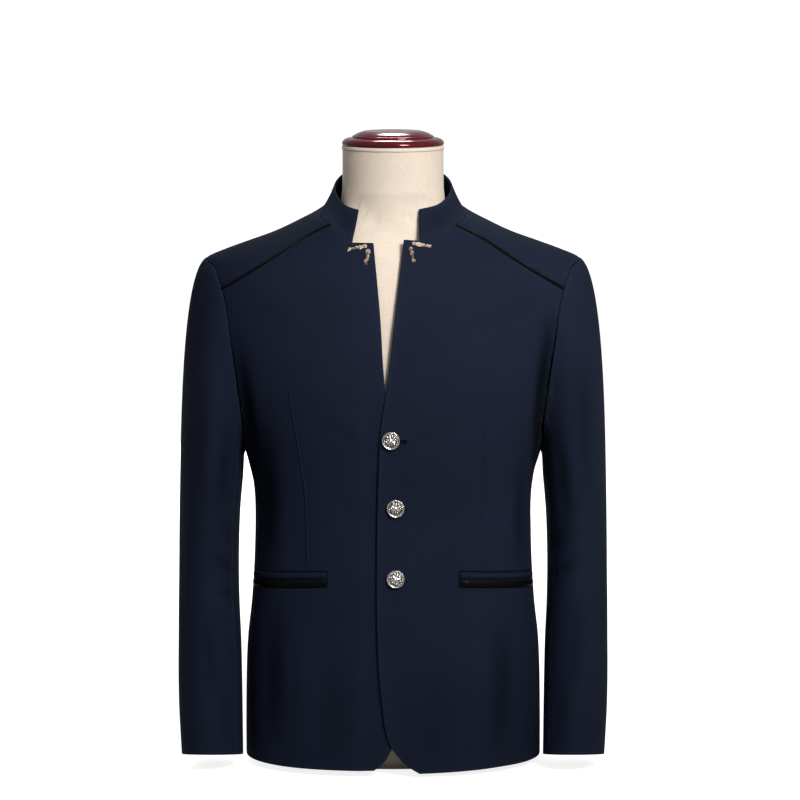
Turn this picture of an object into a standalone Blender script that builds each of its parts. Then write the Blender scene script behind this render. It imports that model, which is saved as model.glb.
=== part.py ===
# Stand-collar suit jacket, buttoned left over right, on a limbless dress form.
# The front faces -Y, the wearer's left is +X, and the form's base is at z = 0.
import math

import bpy
from mathutils import Vector
from mathutils.bvhtree import BVHTree

# Driving sizes, in metres
CLOTH = 0.0018
COLLAR_CLOTH = 0.0030
SEAM = 0.0003
SLEEVE_TRIM = 0.0004
LAP_DEPTH = 0.0027
LAP_START_X = 0.046
LAP_EASE = 0.022
LAP_TOP_Z = 0.575
LAP_FADE = 0.075
ROUNDNESS = 2.25
CENTRE_Y = 0.004
HEM_Z = 0.008
ARMPIT_Z = 0.392
SIDE_SEAM_TOP_Z = 0.400
SHOULDER_TIP_Z = 0.636
NECK_SIDE_Z = 0.703
WIDEST_Z = 0.590
FRONT_SEAM_ANGLE = 83.0
BACK_SEAM_TOP_ANGLE = 104.0
BACK_SEAM_HEM_ANGLE = 118.0
BUTTON_RADIUS = 0.0113
BUTTON_SIDES = 24
BUTTON_SEAT = 0.0004
BUTTON_CENTRE = 0.0056
PETALS = 6
PETAL_WAVE = 0.0007
# Turned shape of the button, from its shank: share of the radius, height
BUTTON_RIM = [(0.265, 0.0), (0.265, 0.0012), (0.841, 0.0014), (1.0, 0.0024),
              (1.0, 0.0038), (0.912, 0.0046), (0.805, 0.0042), (0.743, 0.0034)]
BUTTON_FLOWER = [(0.602, 0.0042), (0.398, 0.0050), (0.230, 0.0040), (0.159, 0.0052)]
BUTTON_PLACES = [(-0.0024, 0.4219), (0.0034, 0.3369), (0.0034, 0.2487)]
POCKET_FRONT_X = 0.082
POCKET_SIDE_ANGLE = 80.5
POCKET_TOP_FRONT_Z = 0.2562
POCKET_TOP_SIDE_Z = 0.2445
JET_HEIGHT = 0.0090
JET_STEP = 0.0100
JET_RISE = 0.0020
JET_COLUMNS = 14
JET_BASE = 0.0004
PIPING_WIDTH = 0.0042
PIPING_RISE = 0.0021
PIPING_BASE = 0.00115
PIPING_END = 0.0012
PIPING_STATIONS = 32
# Half-round section of the piping: share across, share of the rise
PIPING_SECTION = [(-0.5, 0.0), (-0.42, 0.55), (0.0, 1.0), (0.42, 0.55), (0.5, 0.0)]
NECK_RADIUS = 0.0628
NECK_TOP_Z = 0.7745
CAP_RADIUS = 0.0633
FORM_CLEAR_SHOULDER = 0.0063
FORM_CLEAR_COLLAR = 0.0072
FORM_CLEAR_BODY = 0.0090
FORM_ARM_END = 0.206
FORM_BASE_TAPER = 0.045
FORM_TAPER_TOP_Z = 0.090
FORM_SHOULDER_Z, FORM_EASE = 0.665, 0.12
FORM_COLLAR_Z, FORM_COLLAR_X, FORM_COLLAR_EASE = 0.640, 0.126, 0.030
FORM_UPRIGHT_Z = 0.62
THROAT_Z = 0.670
FORM_SIDES = 44
CAP_SIDES = 36

# Body sections, outside of the cloth: height, half width, front depth, back depth
BODY = [
    (0.000, 0.1855, 0.1240, 0.1200),
    (0.060, 0.1855, 0.1225, 0.1190),
    (0.120, 0.1845, 0.1205, 0.1160),
    (0.160, 0.1825, 0.1188, 0.1118),
    (0.200, 0.1780, 0.1170, 0.1065),
    (0.240, 0.1750, 0.1155, 0.1005),
    (0.290, 0.1731, 0.1145, 0.0945),
    (0.330, 0.1735, 0.1155, 0.0930),
    (0.355, 0.1757, 0.1172, 0.0950),
    (0.375, 0.1800, 0.1190, 0.0975),
    (0.392, 0.1845, 0.1206, 0.1000),
    (0.420, 0.1940, 0.1232, 0.1040),
    (0.460, 0.2080, 0.1255, 0.1095),
    (0.500, 0.2210, 0.1258, 0.1135),
    (0.550, 0.2360, 0.1215, 0.1150),
    (0.590, 0.2430, 0.1130, 0.1130),
    (0.615, 0.2425, 0.1050, 0.1090),
    (0.628, 0.2365, 0.1000, 0.1055),
    (0.636, 0.2304, 0.0965, 0.1030),
    (0.644, 0.2120, 0.0930, 0.1000),
    (0.654, 0.1850, 0.0888, 0.0960),
    (0.667, 0.1495, 0.0830, 0.0900),
    (0.685, 0.1120, 0.0760, 0.0820),
    (0.695, 0.0935, 0.0725, 0.0775),
    (0.706, 0.0790, 0.0705, 0.0740),
    (0.716, 0.0725, 0.0700, 0.0720),
    (0.730, 0.0700, 0.0695, 0.0705),
]
HALF_WIDTH, FRONT_DEPTH, BACK_DEPTH = 1, 2, 3

# Rows of the body panels below the armhole
BODY_ROWS = [HEM_Z, 0.014, 0.024, 0.040, 0.063, 0.095, 0.130, 0.165, 0.200, 0.235]
BODY_ROWS += [0.270, 0.310, 0.350, 0.380, SIDE_SEAM_TOP_Z]
UPPER_ROWS = [0.432, 0.464, 0.4888, 0.530, 0.580, 0.620]

# Front edges, from the hem corner up to the lapel corner: height, x
LEFT_EDGE = [
    (0.0054, 0.0330), (0.0117, 0.0228), (0.0221, 0.0105), (0.0397, -0.0029),
    (0.063, -0.0099), (0.084, -0.0125), (0.131, -0.0174), (0.199, -0.0198),
    (0.299, -0.0197), (0.386, -0.0175), (0.429, -0.0157), (0.450, -0.0133),
    (0.472, -0.0097), (0.489, -0.0072), (0.580, 0.0032), (0.6647, 0.0133),
]
RIGHT_EDGE = [
    (0.0089, -0.0240), (0.0135, -0.0175), (0.0230, -0.0085), (0.0390, -0.0005),
    (0.063, 0.0050), (0.084, 0.0080), (0.131, 0.0120), (0.199, 0.0145),
    (0.299, 0.0155), (0.386, 0.0120), (0.430, 0.0040), (0.460, -0.0040),
    (0.4864, -0.0097), (0.580, -0.0160), (0.6607, -0.0238),
]
# Armhole, x as the front and the back show it: height, x
ARM_FRONT = [(0.430, 0.1870), (0.488, 0.1937), (0.563, 0.2032), (0.6023, 0.2105)]
ARM_YOKE = [(0.6023, 0.2105), (0.618, 0.2168), (0.629, 0.2230)]
ARM_BACK = [(0.430, 0.1860), (0.488, 0.1905), (0.563, 0.1990), (0.599, 0.2060), (0.622, 0.2165)]
# Slanted piped seam from the neck to the armhole: x, height
PIPED_SEAM = [(0.0765, 0.6815), (0.108, 0.6655), (0.147, 0.6412), (0.2105, 0.6023)]
# Neck seam from the lapel notch to the piped seam: x, height
NECK_SEAM_LEFT = [(0.0322, 0.6635), (0.0560, 0.6715), (0.0765, 0.6815)]
NECK_SEAM_RIGHT = [(0.0500, 0.6612), (0.0640, 0.6705), (0.0765, 0.6815)]
BACK_NECK_Z = 0.716
# Where the neck seam turns over the yoke and round the back, and the lowest point underarm
YOKE_NECK_ANGLE, YOKE_NECK_Z = 66.0, 0.6925
BACK_NECK_ANGLE, BACK_NECK_TURN_Z = 130.0, 0.7130
UNDERARM_ANGLE = 93.0

# Sleeve rings: height, inner x, outer x, centre y, half depth, slant of the ring
SLEEVE = [
    (0.360, 0.1880, 0.2672, 0.006, 0.0730, 0.00),
    (0.320, 0.1915, 0.2680, 0.005, 0.0700, 0.00),
    (0.280, 0.1932, 0.2685, 0.002, 0.0668, 0.00),
    (0.240, 0.1935, 0.2687, -0.004, 0.0635, 0.02),
    (0.200, 0.1925, 0.2690, -0.012, 0.0605, 0.04),
    (0.160, 0.1905, 0.2690, -0.020, 0.0580, 0.07),
    (0.120, 0.1893, 0.2690, -0.029, 0.0556, 0.10),
    (0.080, 0.1885, 0.2682, -0.037, 0.0535, 0.13),
    (0.045, 0.1880, 0.2664, -0.043, 0.0518, 0.16),
    (0.0155, 0.1876, 0.2645, -0.048, 0.0505, 0.19),
]
CAP_ROWS = 8
CAP_EASE = 1.15
# How the cloth leaves the armhole and reaches the first ring: out, more at the top, down
HEAD_OUT, HEAD_OUT_TOP = 0.012, 0.073
HEAD_DOWN, HEAD_DOWN_TOP = 0.012, 0.020
HEAD_REACH = 0.030
FRONT_SLEEVE_SEAM, BACK_SLEEVE_SEAM = 2, 17

# Rows of the form's torso, then its neck: height, radius
FORM_ROWS = [0.0, 0.006, 0.018, 0.036, 0.060, 0.11, 0.16, 0.21, 0.26, 0.31, 0.345,
             0.380, 0.42, 0.47, 0.52, 0.57, 0.605, 0.628, 0.642, 0.652, 0.662, 0.672,
             0.682, 0.692, 0.700, 0.708]
FORM_NECK = [(0.7190, 0.0634), (0.7260, 0.0630), (0.7450, NECK_RADIUS), (NECK_TOP_Z, NECK_RADIUS)]
# Turned cap: radius, height over the neck
CAP_PROFILE = [(0.0600, 0.0), (0.0622, 0.0005), (CAP_RADIUS, 0.0018), (CAP_RADIUS, 0.0034),
               (0.0622, 0.0055), (0.0597, 0.0075), (0.0560, 0.0090), (0.0512, 0.0098),
               (0.0500, 0.0106), (0.0497, 0.0119), (0.0470, 0.0135), (0.0400, 0.0163),
               (0.0350, 0.0176)]

# Top edge of each half of the stand collar, from its front end to the back: x, y, height
COLLAR_TOP_LEFT = [(0.0325, -0.0560, 0.7005), (0.0565, -0.0430, 0.7060), (0.0705, -0.0150, 0.7175),
                   (0.0710, 0.0180, 0.7310), (0.0520, 0.0560, 0.7400), (0.0, 0.0740, 0.7430)]
COLLAR_TOP_RIGHT = [(0.0424, -0.0525, 0.6995), (0.0590, -0.0400, 0.7045), (0.0705, -0.0150, 0.7165),
                    (0.0710, 0.0180, 0.7300), (0.0520, 0.0560, 0.7400), (0.0, 0.0740, 0.7430)]
COLLAR_ROWS = 4
COLLAR_HOLLOW = 0.0010
COLLAR_LIFT_OUTSIDE = 0.0005
COLLAR_LIFT_INSIDE = 0.0014

# Leaf sprays at the lapel corners: node, x and height of the stem's foot and tip
SPRAYS = [
    ("spray_left_across", (0.0235, 0.6599), (0.0450, 0.6563)),
    ("spray_left_down", (0.0212, 0.6557), (0.0256, 0.6388)),
    ("spray_right_across", (-0.0318, 0.6571), (-0.0535, 0.6527)),
    ("spray_right_down", (-0.0299, 0.6530), (-0.0330, 0.6366)),
]
SPRAY_HALF_WIDTH = 0.0026
SPRAY_BASE, SPRAY_EDGE, SPRAY_CROWN = 0.0008, 0.0006, 0.0011
SPRAY_LEAVES, LEAF_STEPS = 4, 4
SPRAY_TAPER = 0.35
LEAF_WAIST, LEAF_TIP = 0.55, 0.25

NAVY = (0.018, 0.024, 0.050)
SATIN = (0.006, 0.006, 0.008)
SILVER = (0.62, 0.60, 0.57)
THREAD = (0.42, 0.27, 0.16)
LINEN = (0.72, 0.62, 0.50)
LACQUER = (0.16, 0.025, 0.02)


def material(name, colour, roughness, metallic=0.0):
    made = bpy.data.materials.get(name) or bpy.data.materials.new(name)
    made.use_nodes = True
    made.diffuse_color = (*colour, 1.0)
    shader = made.node_tree.nodes["Principled BSDF"]
    shader.inputs["Base Color"].default_value = (*colour, 1.0)
    shader.inputs["Roughness"].default_value = roughness
    shader.inputs["Metallic"].default_value = metallic
    return made


def smooth_value(table, column, at):
    """One column of a table at a height, on a smooth curve through the rows."""
    last = len(table) - 2
    i = next((k for k in range(last) if at < table[k + 1][0]), last)
    z0, z1 = table[i][0], table[i + 1][0]
    v0, v1 = table[i][column], table[i + 1][column]

    def slope(k):
        low, high = max(k - 1, 0), min(k + 1, len(table) - 1)
        return (table[high][column] - table[low][column]) / (table[high][0] - table[low][0])

    t = min(max((at - z0) / (z1 - z0), 0.0), 1.0)
    step = z1 - z0
    return (
        v0 * (2 * t**3 - 3 * t**2 + 1)
        + slope(i) * step * (t**3 - 2 * t**2 + t)
        + v1 * (3 * t**2 - 2 * t**3)
        + slope(i + 1) * step * (t**3 - t**2)
    )


def section(z, front):
    depth = FRONT_DEPTH if front else BACK_DEPTH
    return smooth_value(BODY, HALF_WIDTH, z), smooth_value(BODY, depth, z)


def body_point(angle, z):
    """Outside of the body; the angle is 0 at the front, 90 degrees at the left side."""
    half, depth = section(z, math.cos(angle) > 0)
    power = 2.0 / ROUNDNESS
    x = math.copysign(half * abs(math.sin(angle)) ** power, math.sin(angle))
    y = -math.copysign(depth * abs(math.cos(angle)) ** power, math.cos(angle))
    return Vector((x, y + CENTRE_Y, z))


def body_normal(angle, z):
    """Outward direction there, from the slope of the section's formula."""
    front = math.cos(angle) > 0
    half, depth = section(z, front)
    step = 0.0015
    half_up, depth_up = section(z + step, front)
    half_down, depth_down = section(z - step, front)
    point = body_point(angle, z)
    x, y = abs(point.x), abs(point.y - CENTRE_Y)
    n = ROUNDNESS
    across = math.copysign(x ** (n - 1) / half**n, point.x)
    along = math.copysign(y ** (n - 1) / depth**n, point.y - CENTRE_Y)
    up = -(x**n / half ** (n + 1)) * (half_up - half_down) / (2 * step)
    up -= (y**n / depth ** (n + 1)) * (depth_up - depth_down) / (2 * step)
    return Vector((across, along, up)).normalized()


def angle_at(x, z, front=True):
    """Angle of the body point that shows at x, on the front or on the back."""
    half = section(z, front)[0]
    angle = math.asin(min(abs(x) / half, 1.0) ** (ROUNDNESS / 2))
    if not front:
        angle = math.pi - angle
    return math.copysign(angle, x) if x else angle


def spread(points, count):
    """Count + 1 points at equal steps along a smooth line through the points."""
    fine = []
    last = len(points) - 1
    for i in range(last):
        before = points[max(i - 1, 0)]
        after = points[min(i + 2, last)]
        for k in range(12):
            t = k / 12
            fine.append(tuple(
                0.5 * (2 * b + (c - a) * t + (2 * a - 5 * b + 4 * c - d) * t**2
                       + (3 * b - a - 3 * c + d) * t**3)
                for a, b, c, d in zip(before, points[i], points[i + 1], after)
            ))
    fine.append(tuple(points[-1]))
    lengths = [0.0]
    for one, two in zip(fine, fine[1:]):
        lengths.append(lengths[-1] + math.dist(one, two))
    found = []
    k = 0
    for i in range(count + 1):
        want = lengths[-1] * i / count
        while k < len(fine) - 2 and lengths[k + 1] < want:
            k += 1
        t = (want - lengths[k]) / max(lengths[k + 1] - lengths[k], 1e-12)
        found.append(tuple(a + (b - a) * t for a, b in zip(fine[k], fine[k + 1])))
    return found


def joined(*lines):
    """Lines end to end, with each shared point once."""
    result = list(lines[0])
    for line in lines[1:]:
        result += line[1:]
    return result


def patch(bottom, top, left, right):
    """Grid of (angle, height) points between four lines of a panel's outline."""
    across, up = len(bottom) - 1, len(left) - 1
    rows = []
    for j in range(up + 1):
        low, high = 1 - j / up, j / up
        row = []
        for i in range(across + 1):
            u = i / across
            row.append(tuple(
                (1 - u) * left[j][k] + u * right[j][k]
                + low * (bottom[i][k] - (1 - u) * bottom[0][k] - u * bottom[-1][k])
                + high * (top[i][k] - (1 - u) * top[0][k] - u * top[-1][k])
                for k in range(2)
            ))
        rows.append(row)
    return rows


def unrolled(line, front):
    """(angle, height) points as if the body kept its widest section up to the shoulder.

    Columns between such points stay upright over the shoulder, so a panel never folds.
    """
    result = []
    for angle, z in line:
        widest = smooth_value(BODY, HALF_WIDTH, min(z, WIDEST_Z))
        share = min(abs(body_point(angle, z).x) / widest, 1.0)
        flat = math.asin(share ** (ROUNDNESS / 2))
        result.append((math.copysign(flat if front else math.pi - flat, angle), z))
    return result


def rolled(grid, front):
    """The unrolled grid back on the body."""
    rows = []
    for line in grid:
        row = []
        for flat, z in line:
            widest = smooth_value(BODY, HALF_WIDTH, min(z, WIDEST_Z))
            x = widest * abs(math.sin(flat)) ** (2.0 / ROUNDNESS)
            row.append((angle_at(math.copysign(x, flat), z, front), z))
        rows.append(row)
    return rows


def upright_patch(bottom, top, left, right, front):
    """A patch whose columns stay upright over the shoulder."""
    lines = [unrolled(line, front) for line in (bottom, top, left, right)]
    return rolled(patch(*lines), front)


def trimmed(grid, edges, amount):
    """The grid with the named edges drawn in by an amount, square to each edge."""
    rows, columns = len(grid), len(grid[0])
    moved = [[point.copy() for point in row] for row in grid]

    def draw_in(j, i, inner_j, inner_i, along_j, along_i):
        before = grid[max(j - along_j, 0)][max(i - along_i, 0)]
        after = grid[min(j + along_j, rows - 1)][min(i + along_i, columns - 1)]
        tangent = (after - before).normalized()
        inward = grid[inner_j][inner_i] - grid[j][i]
        inward -= inward.dot(tangent) * tangent
        moved[j][i] += inward.normalized() * amount

    for i in range(columns):
        if "bottom" in edges:
            draw_in(0, i, 1, i, 0, 1)
        if "top" in edges:
            draw_in(rows - 1, i, rows - 2, i, 0, 1)
    for j in range(rows):
        if "left" in edges:
            draw_in(j, 0, j, 1, 1, 0)
        if "right" in edges:
            draw_in(j, columns - 1, j, columns - 2, 1, 0)
    return moved


def solid(name, points, faces, finish, smooth=True):
    """A mesh object with its faces outward."""
    volume = 0.0
    for face in faces:
        for k in range(1, len(face) - 1):
            a, b, c = points[face[0]], points[face[k]], points[face[k + 1]]
            volume += a.dot(b.cross(c))
    if volume < 0:
        faces = [tuple(reversed(face)) for face in faces]
    mesh = bpy.data.meshes.new(name)
    mesh.from_pydata([tuple(p) for p in points], [], faces)
    mesh.materials.append(finish)
    mesh.validate()
    if smooth:
        mesh.shade_smooth()
        mesh.set_sharp_from_angle(angle=math.radians(40))
    made = bpy.data.objects.new(name, mesh)
    bpy.context.scene.collection.objects.link(made)
    return made


def wall(name, outer, inner, finish):
    """A closed wall between an outer and an inner grid."""
    rows, columns = len(outer), len(outer[0])
    points = [p for row in outer for p in row] + [p for row in inner for p in row]
    inside = rows * columns

    def at(j, i):
        return j * columns + i

    faces = []
    for j in range(rows - 1):
        for i in range(columns - 1):
            quad = (at(j, i), at(j, i + 1), at(j + 1, i + 1), at(j + 1, i))
            faces.append(quad)
            faces.append(tuple(inside + k for k in reversed(quad)))
    rim = [at(0, i) for i in range(columns)]
    rim += [at(j, columns - 1) for j in range(1, rows)]
    rim += [at(rows - 1, i) for i in range(columns - 2, -1, -1)]
    rim += [at(j, 0) for j in range(rows - 2, 0, -1)]
    for one, two in zip(rim, rim[1:] + rim[:1]):
        faces.append((two, one, inside + one, inside + two))
    return solid(name, points, faces, finish)


def lap_depth(angle, z, side):
    """How far the right front steps back where the left front covers it."""
    if side > 0:
        return 0.0
    x = body_point(angle, z).x
    near = min(max((x + LAP_START_X) / LAP_EASE, 0.0), 1.0)
    low = min(max((LAP_TOP_Z - z) / LAP_FADE, 0.0), 1.0)
    return LAP_DEPTH * near * near * (3 - 2 * near) * low * low * (3 - 2 * low)


def panel(name, grid, side, edges, finish, stepped=False):
    """A panel of the body from its grid of angles and heights."""
    outer, inner = [], []
    for row in grid:
        outer_row, inner_row = [], []
        for angle, z in row:
            normal = body_normal(angle, z)
            depth = lap_depth(angle, z, side) if stepped else 0.0
            outer_row.append(body_point(angle, z) - normal * depth)
            inner_row.append(body_point(angle, z) - normal * (depth + CLOTH))
        outer.append(outer_row)
        inner.append(inner_row)
    outer = trimmed(outer, edges, SEAM / 2)
    inner = trimmed(inner, edges, SEAM / 2)
    return wall(name, outer, inner, finish)


def places(line, side, front=True):
    """(x, height) points of the right-hand half as (angle, height) on one side."""
    return [(angle_at(side * x, z, front), z) for x, z in line]


def swapped(table):
    return [(x, z) for z, x in table]


def side_angle(side, back, z):
    """Angle of the side seams at a height."""
    if not back:
        return side * math.radians(FRONT_SEAM_ANGLE)
    share = (z - HEM_Z) / (SIDE_SEAM_TOP_Z - HEM_Z)
    degrees = BACK_SEAM_HEM_ANGLE + (BACK_SEAM_TOP_ANGLE - BACK_SEAM_HEM_ANGLE) * share
    return side * math.radians(degrees)


def lines_of(side):
    """The seam lines that neighbouring panels share, on one side of the body."""
    ridge = side * math.pi / 2
    front_foot = (side_angle(side, False, SIDE_SEAM_TOP_Z), SIDE_SEAM_TOP_Z)
    back_foot = (side_angle(side, True, SIDE_SEAM_TOP_Z), SIDE_SEAM_TOP_Z)
    tip = (ridge, SHOULDER_TIP_Z)
    neck = NECK_SEAM_LEFT if side > 0 else NECK_SEAM_RIGHT
    piping_start = places(PIPED_SEAM[:1], side)[0]
    neck_front = spread(places(neck, side), 3)
    yoke_turn = (side * math.radians(YOKE_NECK_ANGLE), YOKE_NECK_Z)
    back_turn = (side * math.radians(BACK_NECK_ANGLE), BACK_NECK_TURN_Z)
    neck_yoke = spread([piping_start, yoke_turn, (ridge, NECK_SIDE_Z)], 4)
    neck_back = spread([(ridge, NECK_SIDE_Z), back_turn, (side * math.pi, BACK_NECK_Z)], 4)
    return {
        "side_front": [(side_angle(side, False, z), z) for z in BODY_ROWS],
        "side_back": [(side_angle(side, True, z), z) for z in BODY_ROWS],
        "arm_front": spread([front_foot] + places(swapped(ARM_FRONT), side), 7),
        "arm_yoke": spread(places(swapped(ARM_YOKE), side) + [tip], 4),
        "arm_back": spread([back_foot] + places(swapped(ARM_BACK), side, False) + [tip], 9),
        "arm_under": spread([front_foot, (side * math.radians(UNDERARM_ANGLE), ARMPIT_Z), back_foot], 4),
        "piping": places(spread(PIPED_SEAM, 8), side),
        "ridge": [(ridge, NECK_SIDE_Z + (SHOULDER_TIP_Z - NECK_SIDE_Z) * i / 8) for i in range(9)],
        "neck_front": neck_front,
        "neck_yoke": neck_yoke,
        "neck_back": neck_back,
    }


def front_panel(side, lines, finish):
    edge = LEFT_EDGE if side > 0 else RIGHT_EDGE
    top_z = edge[-1][0]
    heights = [edge[0][0], *BODY_ROWS[1:], *UPPER_ROWS, top_z]
    heights[1:5] = [edge[k][0] for k in (1, 2, 3, 4)]
    left = []
    for z in heights:
        x = smooth_value(edge, 1, z)
        left.append((angle_at(x, z), z))
    right = joined(lines["side_front"], lines["arm_front"])
    lapel_top = spread([left[-1], lines["neck_front"][0]], 2)
    top = joined(lapel_top, lines["neck_front"], lines["piping"])
    across = len(top) - 1
    hem = [left[0]]
    for i in range(1, across + 1):
        share = i / across
        z = left[0][1] + (HEM_Z - left[0][1]) * min(share * 2, 1.0)
        hem.append((left[0][0] + (right[0][0] - left[0][0]) * share, z))
    name = "front_left" if side > 0 else "front_right"
    grid = upright_patch(hem, top, left, right, True)
    return panel(name, grid, side, ("right", "top"), finish, True)


def side_panel(side, lines, finish):
    left, right = lines["side_front"], lines["side_back"]
    hem = [(left[0][0] + (right[0][0] - left[0][0]) * i / 4, HEM_Z) for i in range(5)]
    name = "side_left" if side > 0 else "side_right"
    grid = patch(hem, lines["arm_under"], left, right)
    return panel(name, grid, side, ("left", "right", "top"), finish)


def back_panel(side, lines, finish):
    left = joined(lines["side_back"], lines["arm_back"])
    top = joined(list(reversed(lines["ridge"])), lines["neck_back"])
    middle = side * math.pi
    upper = [(middle, SIDE_SEAM_TOP_Z + (BACK_NECK_Z - SIDE_SEAM_TOP_Z) * i / 9) for i in range(10)]
    right = joined([(middle, z) for z in BODY_ROWS], upper)
    across = len(top) - 1
    hem = [(left[0][0] + (middle - left[0][0]) * i / across, HEM_Z) for i in range(across + 1)]
    name = "back_left" if side > 0 else "back_right"
    grid = upright_patch(hem, top, left, right, False)
    return panel(name, grid, side, ("left", "right", "top"), finish)


def yoke_panel(side, lines, finish):
    name = "yoke_left" if side > 0 else "yoke_right"
    grid = patch(lines["piping"], lines["ridge"], lines["neck_yoke"], lines["arm_yoke"])
    return panel(name, grid, side, ("left", "right", "top", "bottom"), finish)


def sleeve_ring(side, row, turns):
    """Points of one sleeve ring at the given turns, 0 outside and 90 degrees behind."""
    z, inner, outer, y, depth, slant = row
    middle, half = (inner + outer) / 2, (outer - inner) / 2
    ring = []
    for turn in turns:
        away = depth * math.sin(turn)
        ring.append(Vector((side * (middle + half * math.cos(turn)), y + away, z - slant * away)))
    return ring


def sleeve(side, lines, finish):
    """Top sleeve and under sleeve, from the armhole over the head to the cuff."""
    armhole = joined(lines["arm_front"], lines["arm_yoke"], list(reversed(lines["arm_back"])))
    armhole += list(reversed(lines["arm_under"]))[1:-1]
    seats = [body_point(angle, z) for angle, z in armhole]
    normals = [body_normal(angle, z) for angle, z in armhole]
    centre_z = (SHOULDER_TIP_Z + ARMPIT_Z) / 2
    half_z = (SHOULDER_TIP_Z - ARMPIT_Z) / 2
    half_y = max(abs(p.y - CENTRE_Y) for p in seats)
    turns = [math.atan2((p.y - CENTRE_Y) / half_y, (p.z - centre_z) / half_z) for p in seats]
    first = sleeve_ring(side, SLEEVE[0], turns)
    second = sleeve_ring(side, SLEEVE[1], turns)
    rows = []
    for k in range(CAP_ROWS):
        t = (k / CAP_ROWS) ** CAP_EASE
        row = []
        for seat, low, lower, turn in zip(seats, first, second, turns):
            top = 0.5 + 0.5 * math.cos(turn)
            out, down = HEAD_OUT + HEAD_OUT_TOP * top, HEAD_DOWN + HEAD_DOWN_TOP * top
            leave = Vector((side * out, 0.0, -down))
            arrive = (lower - low).normalized() * (HEAD_REACH + seat.z - low.z)
            row.append(
                seat * (2 * t**3 - 3 * t**2 + 1) + leave * (t**3 - 2 * t**2 + t)
                + low * (3 * t**2 - 2 * t**3) + arrive * (t**3 - t**2)
            )
        rows.append(row)
    rows += [sleeve_ring(side, row, turns) for row in SLEEVE]
    inner = inside_of(rows, normals, side)
    count = len(armhole)
    front_seam, back_seam = FRONT_SLEEVE_SEAM, BACK_SLEEVE_SEAM
    spans = {
        "top_sleeve": list(range(front_seam, back_seam + 1)),
        "under_sleeve": list(range(back_seam, count + front_seam + 1)),
    }
    for word, span in spans.items():
        outer_grid = [[row[i % count] for i in span] for row in rows]
        inner_grid = [[row[i % count] for i in span] for row in inner]
        outer_grid = trimmed(outer_grid, ("left", "right", "bottom"), SLEEVE_TRIM)
        inner_grid = trimmed(inner_grid, ("left", "right", "bottom"), SLEEVE_TRIM)
        wall(f"{word}_{'left' if side > 0 else 'right'}", outer_grid, inner_grid, finish)


def inside_of(rows, first_normals, side):
    """The inner rows of a closed tube.

    Where the tube bends inwards from the body, its first row keeps the armhole's direction.
    """
    count = len(rows[0])
    inner = []
    for j, row in enumerate(rows):
        above, below = rows[max(j - 1, 0)], rows[min(j + 1, len(rows) - 1)]
        inner_row = []
        for i, point in enumerate(row):
            down = below[i] - above[i]
            normal = down.cross(row[(i + 1) % count] - row[i - 1]).normalized() * side
            if j == 0 and down.dot(first_normals[i]) < 0:
                normal = first_normals[i]
            inner_row.append(point - normal * CLOTH)
        inner.append(inner_row)
    return inner


def collar_half(side, lines):
    """Outer and inner rows of one half of the stand collar, from its end to the back."""
    foot = joined(lines["neck_front"], lines["neck_yoke"], lines["neck_back"])
    bottom = [body_point(angle, z) for angle, z in foot]
    top_line = COLLAR_TOP_LEFT if side > 0 else COLLAR_TOP_RIGHT
    top = [Vector((side * x, y, z)) for x, y, z in spread(top_line, len(foot) - 1)]
    return bottom, top


def collar(all_lines, finish):
    left_bottom, left_top = collar_half(1, all_lines[1])
    right_bottom, right_top = collar_half(-1, all_lines[-1])
    bottom = left_bottom + list(reversed(right_bottom))[1:]
    top = left_top + list(reversed(right_top))[1:]
    count = len(bottom)
    outer, inner = [], []
    outward = []
    for i in range(count):
        along = bottom[min(i + 1, count - 1)] - bottom[max(i - 1, 0)]
        out = (top[i] - bottom[i]).cross(along).normalized()
        middle = (top[i] + bottom[i]) / 2 - Vector((0, CENTRE_Y, 0))
        if out.x * middle.x + out.y * middle.y < 0:
            out = -out
        outward.append(out)
    for j in range(COLLAR_ROWS + 1):
        v = j / COLLAR_ROWS
        outer_row, inner_row = [], []
        for i in range(count):
            hollow = COLLAR_HOLLOW * math.sin(math.pi * v)
            rise = (top[i] - bottom[i]).normalized() * (1 - v)
            point = bottom[i].lerp(top[i], v) - outward[i] * hollow
            outer_row.append(point + rise * COLLAR_LIFT_OUTSIDE)
            inner_row.append(point + rise * COLLAR_LIFT_INSIDE - outward[i] * COLLAR_CLOTH)
        outer.append(outer_row)
        inner.append(inner_row)
    return wall("collar", outer, inner, finish)


def surface_of(made):
    mesh = made.data
    faces = [tuple(face.vertices) for face in mesh.polygons]
    return BVHTree.FromPolygons([v.co for v in mesh.vertices], faces)


def over(surfaces, point, normal):
    """The panel's own face under a point of the body."""
    hits = [surface.ray_cast(point + normal * 0.01, -normal) for surface in surfaces]
    hits = [hit for hit in hits if hit[0] is not None and hit[3] < 0.016]
    return min(hits, key=lambda hit: hit[3])[0] if hits else point


def seated(surfaces, angle, z, rise):
    """A point over the panel's own faces, moved out by the rise."""
    normal = body_normal(angle, z)
    return over(surfaces, body_point(angle, z), normal) + normal * rise


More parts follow.
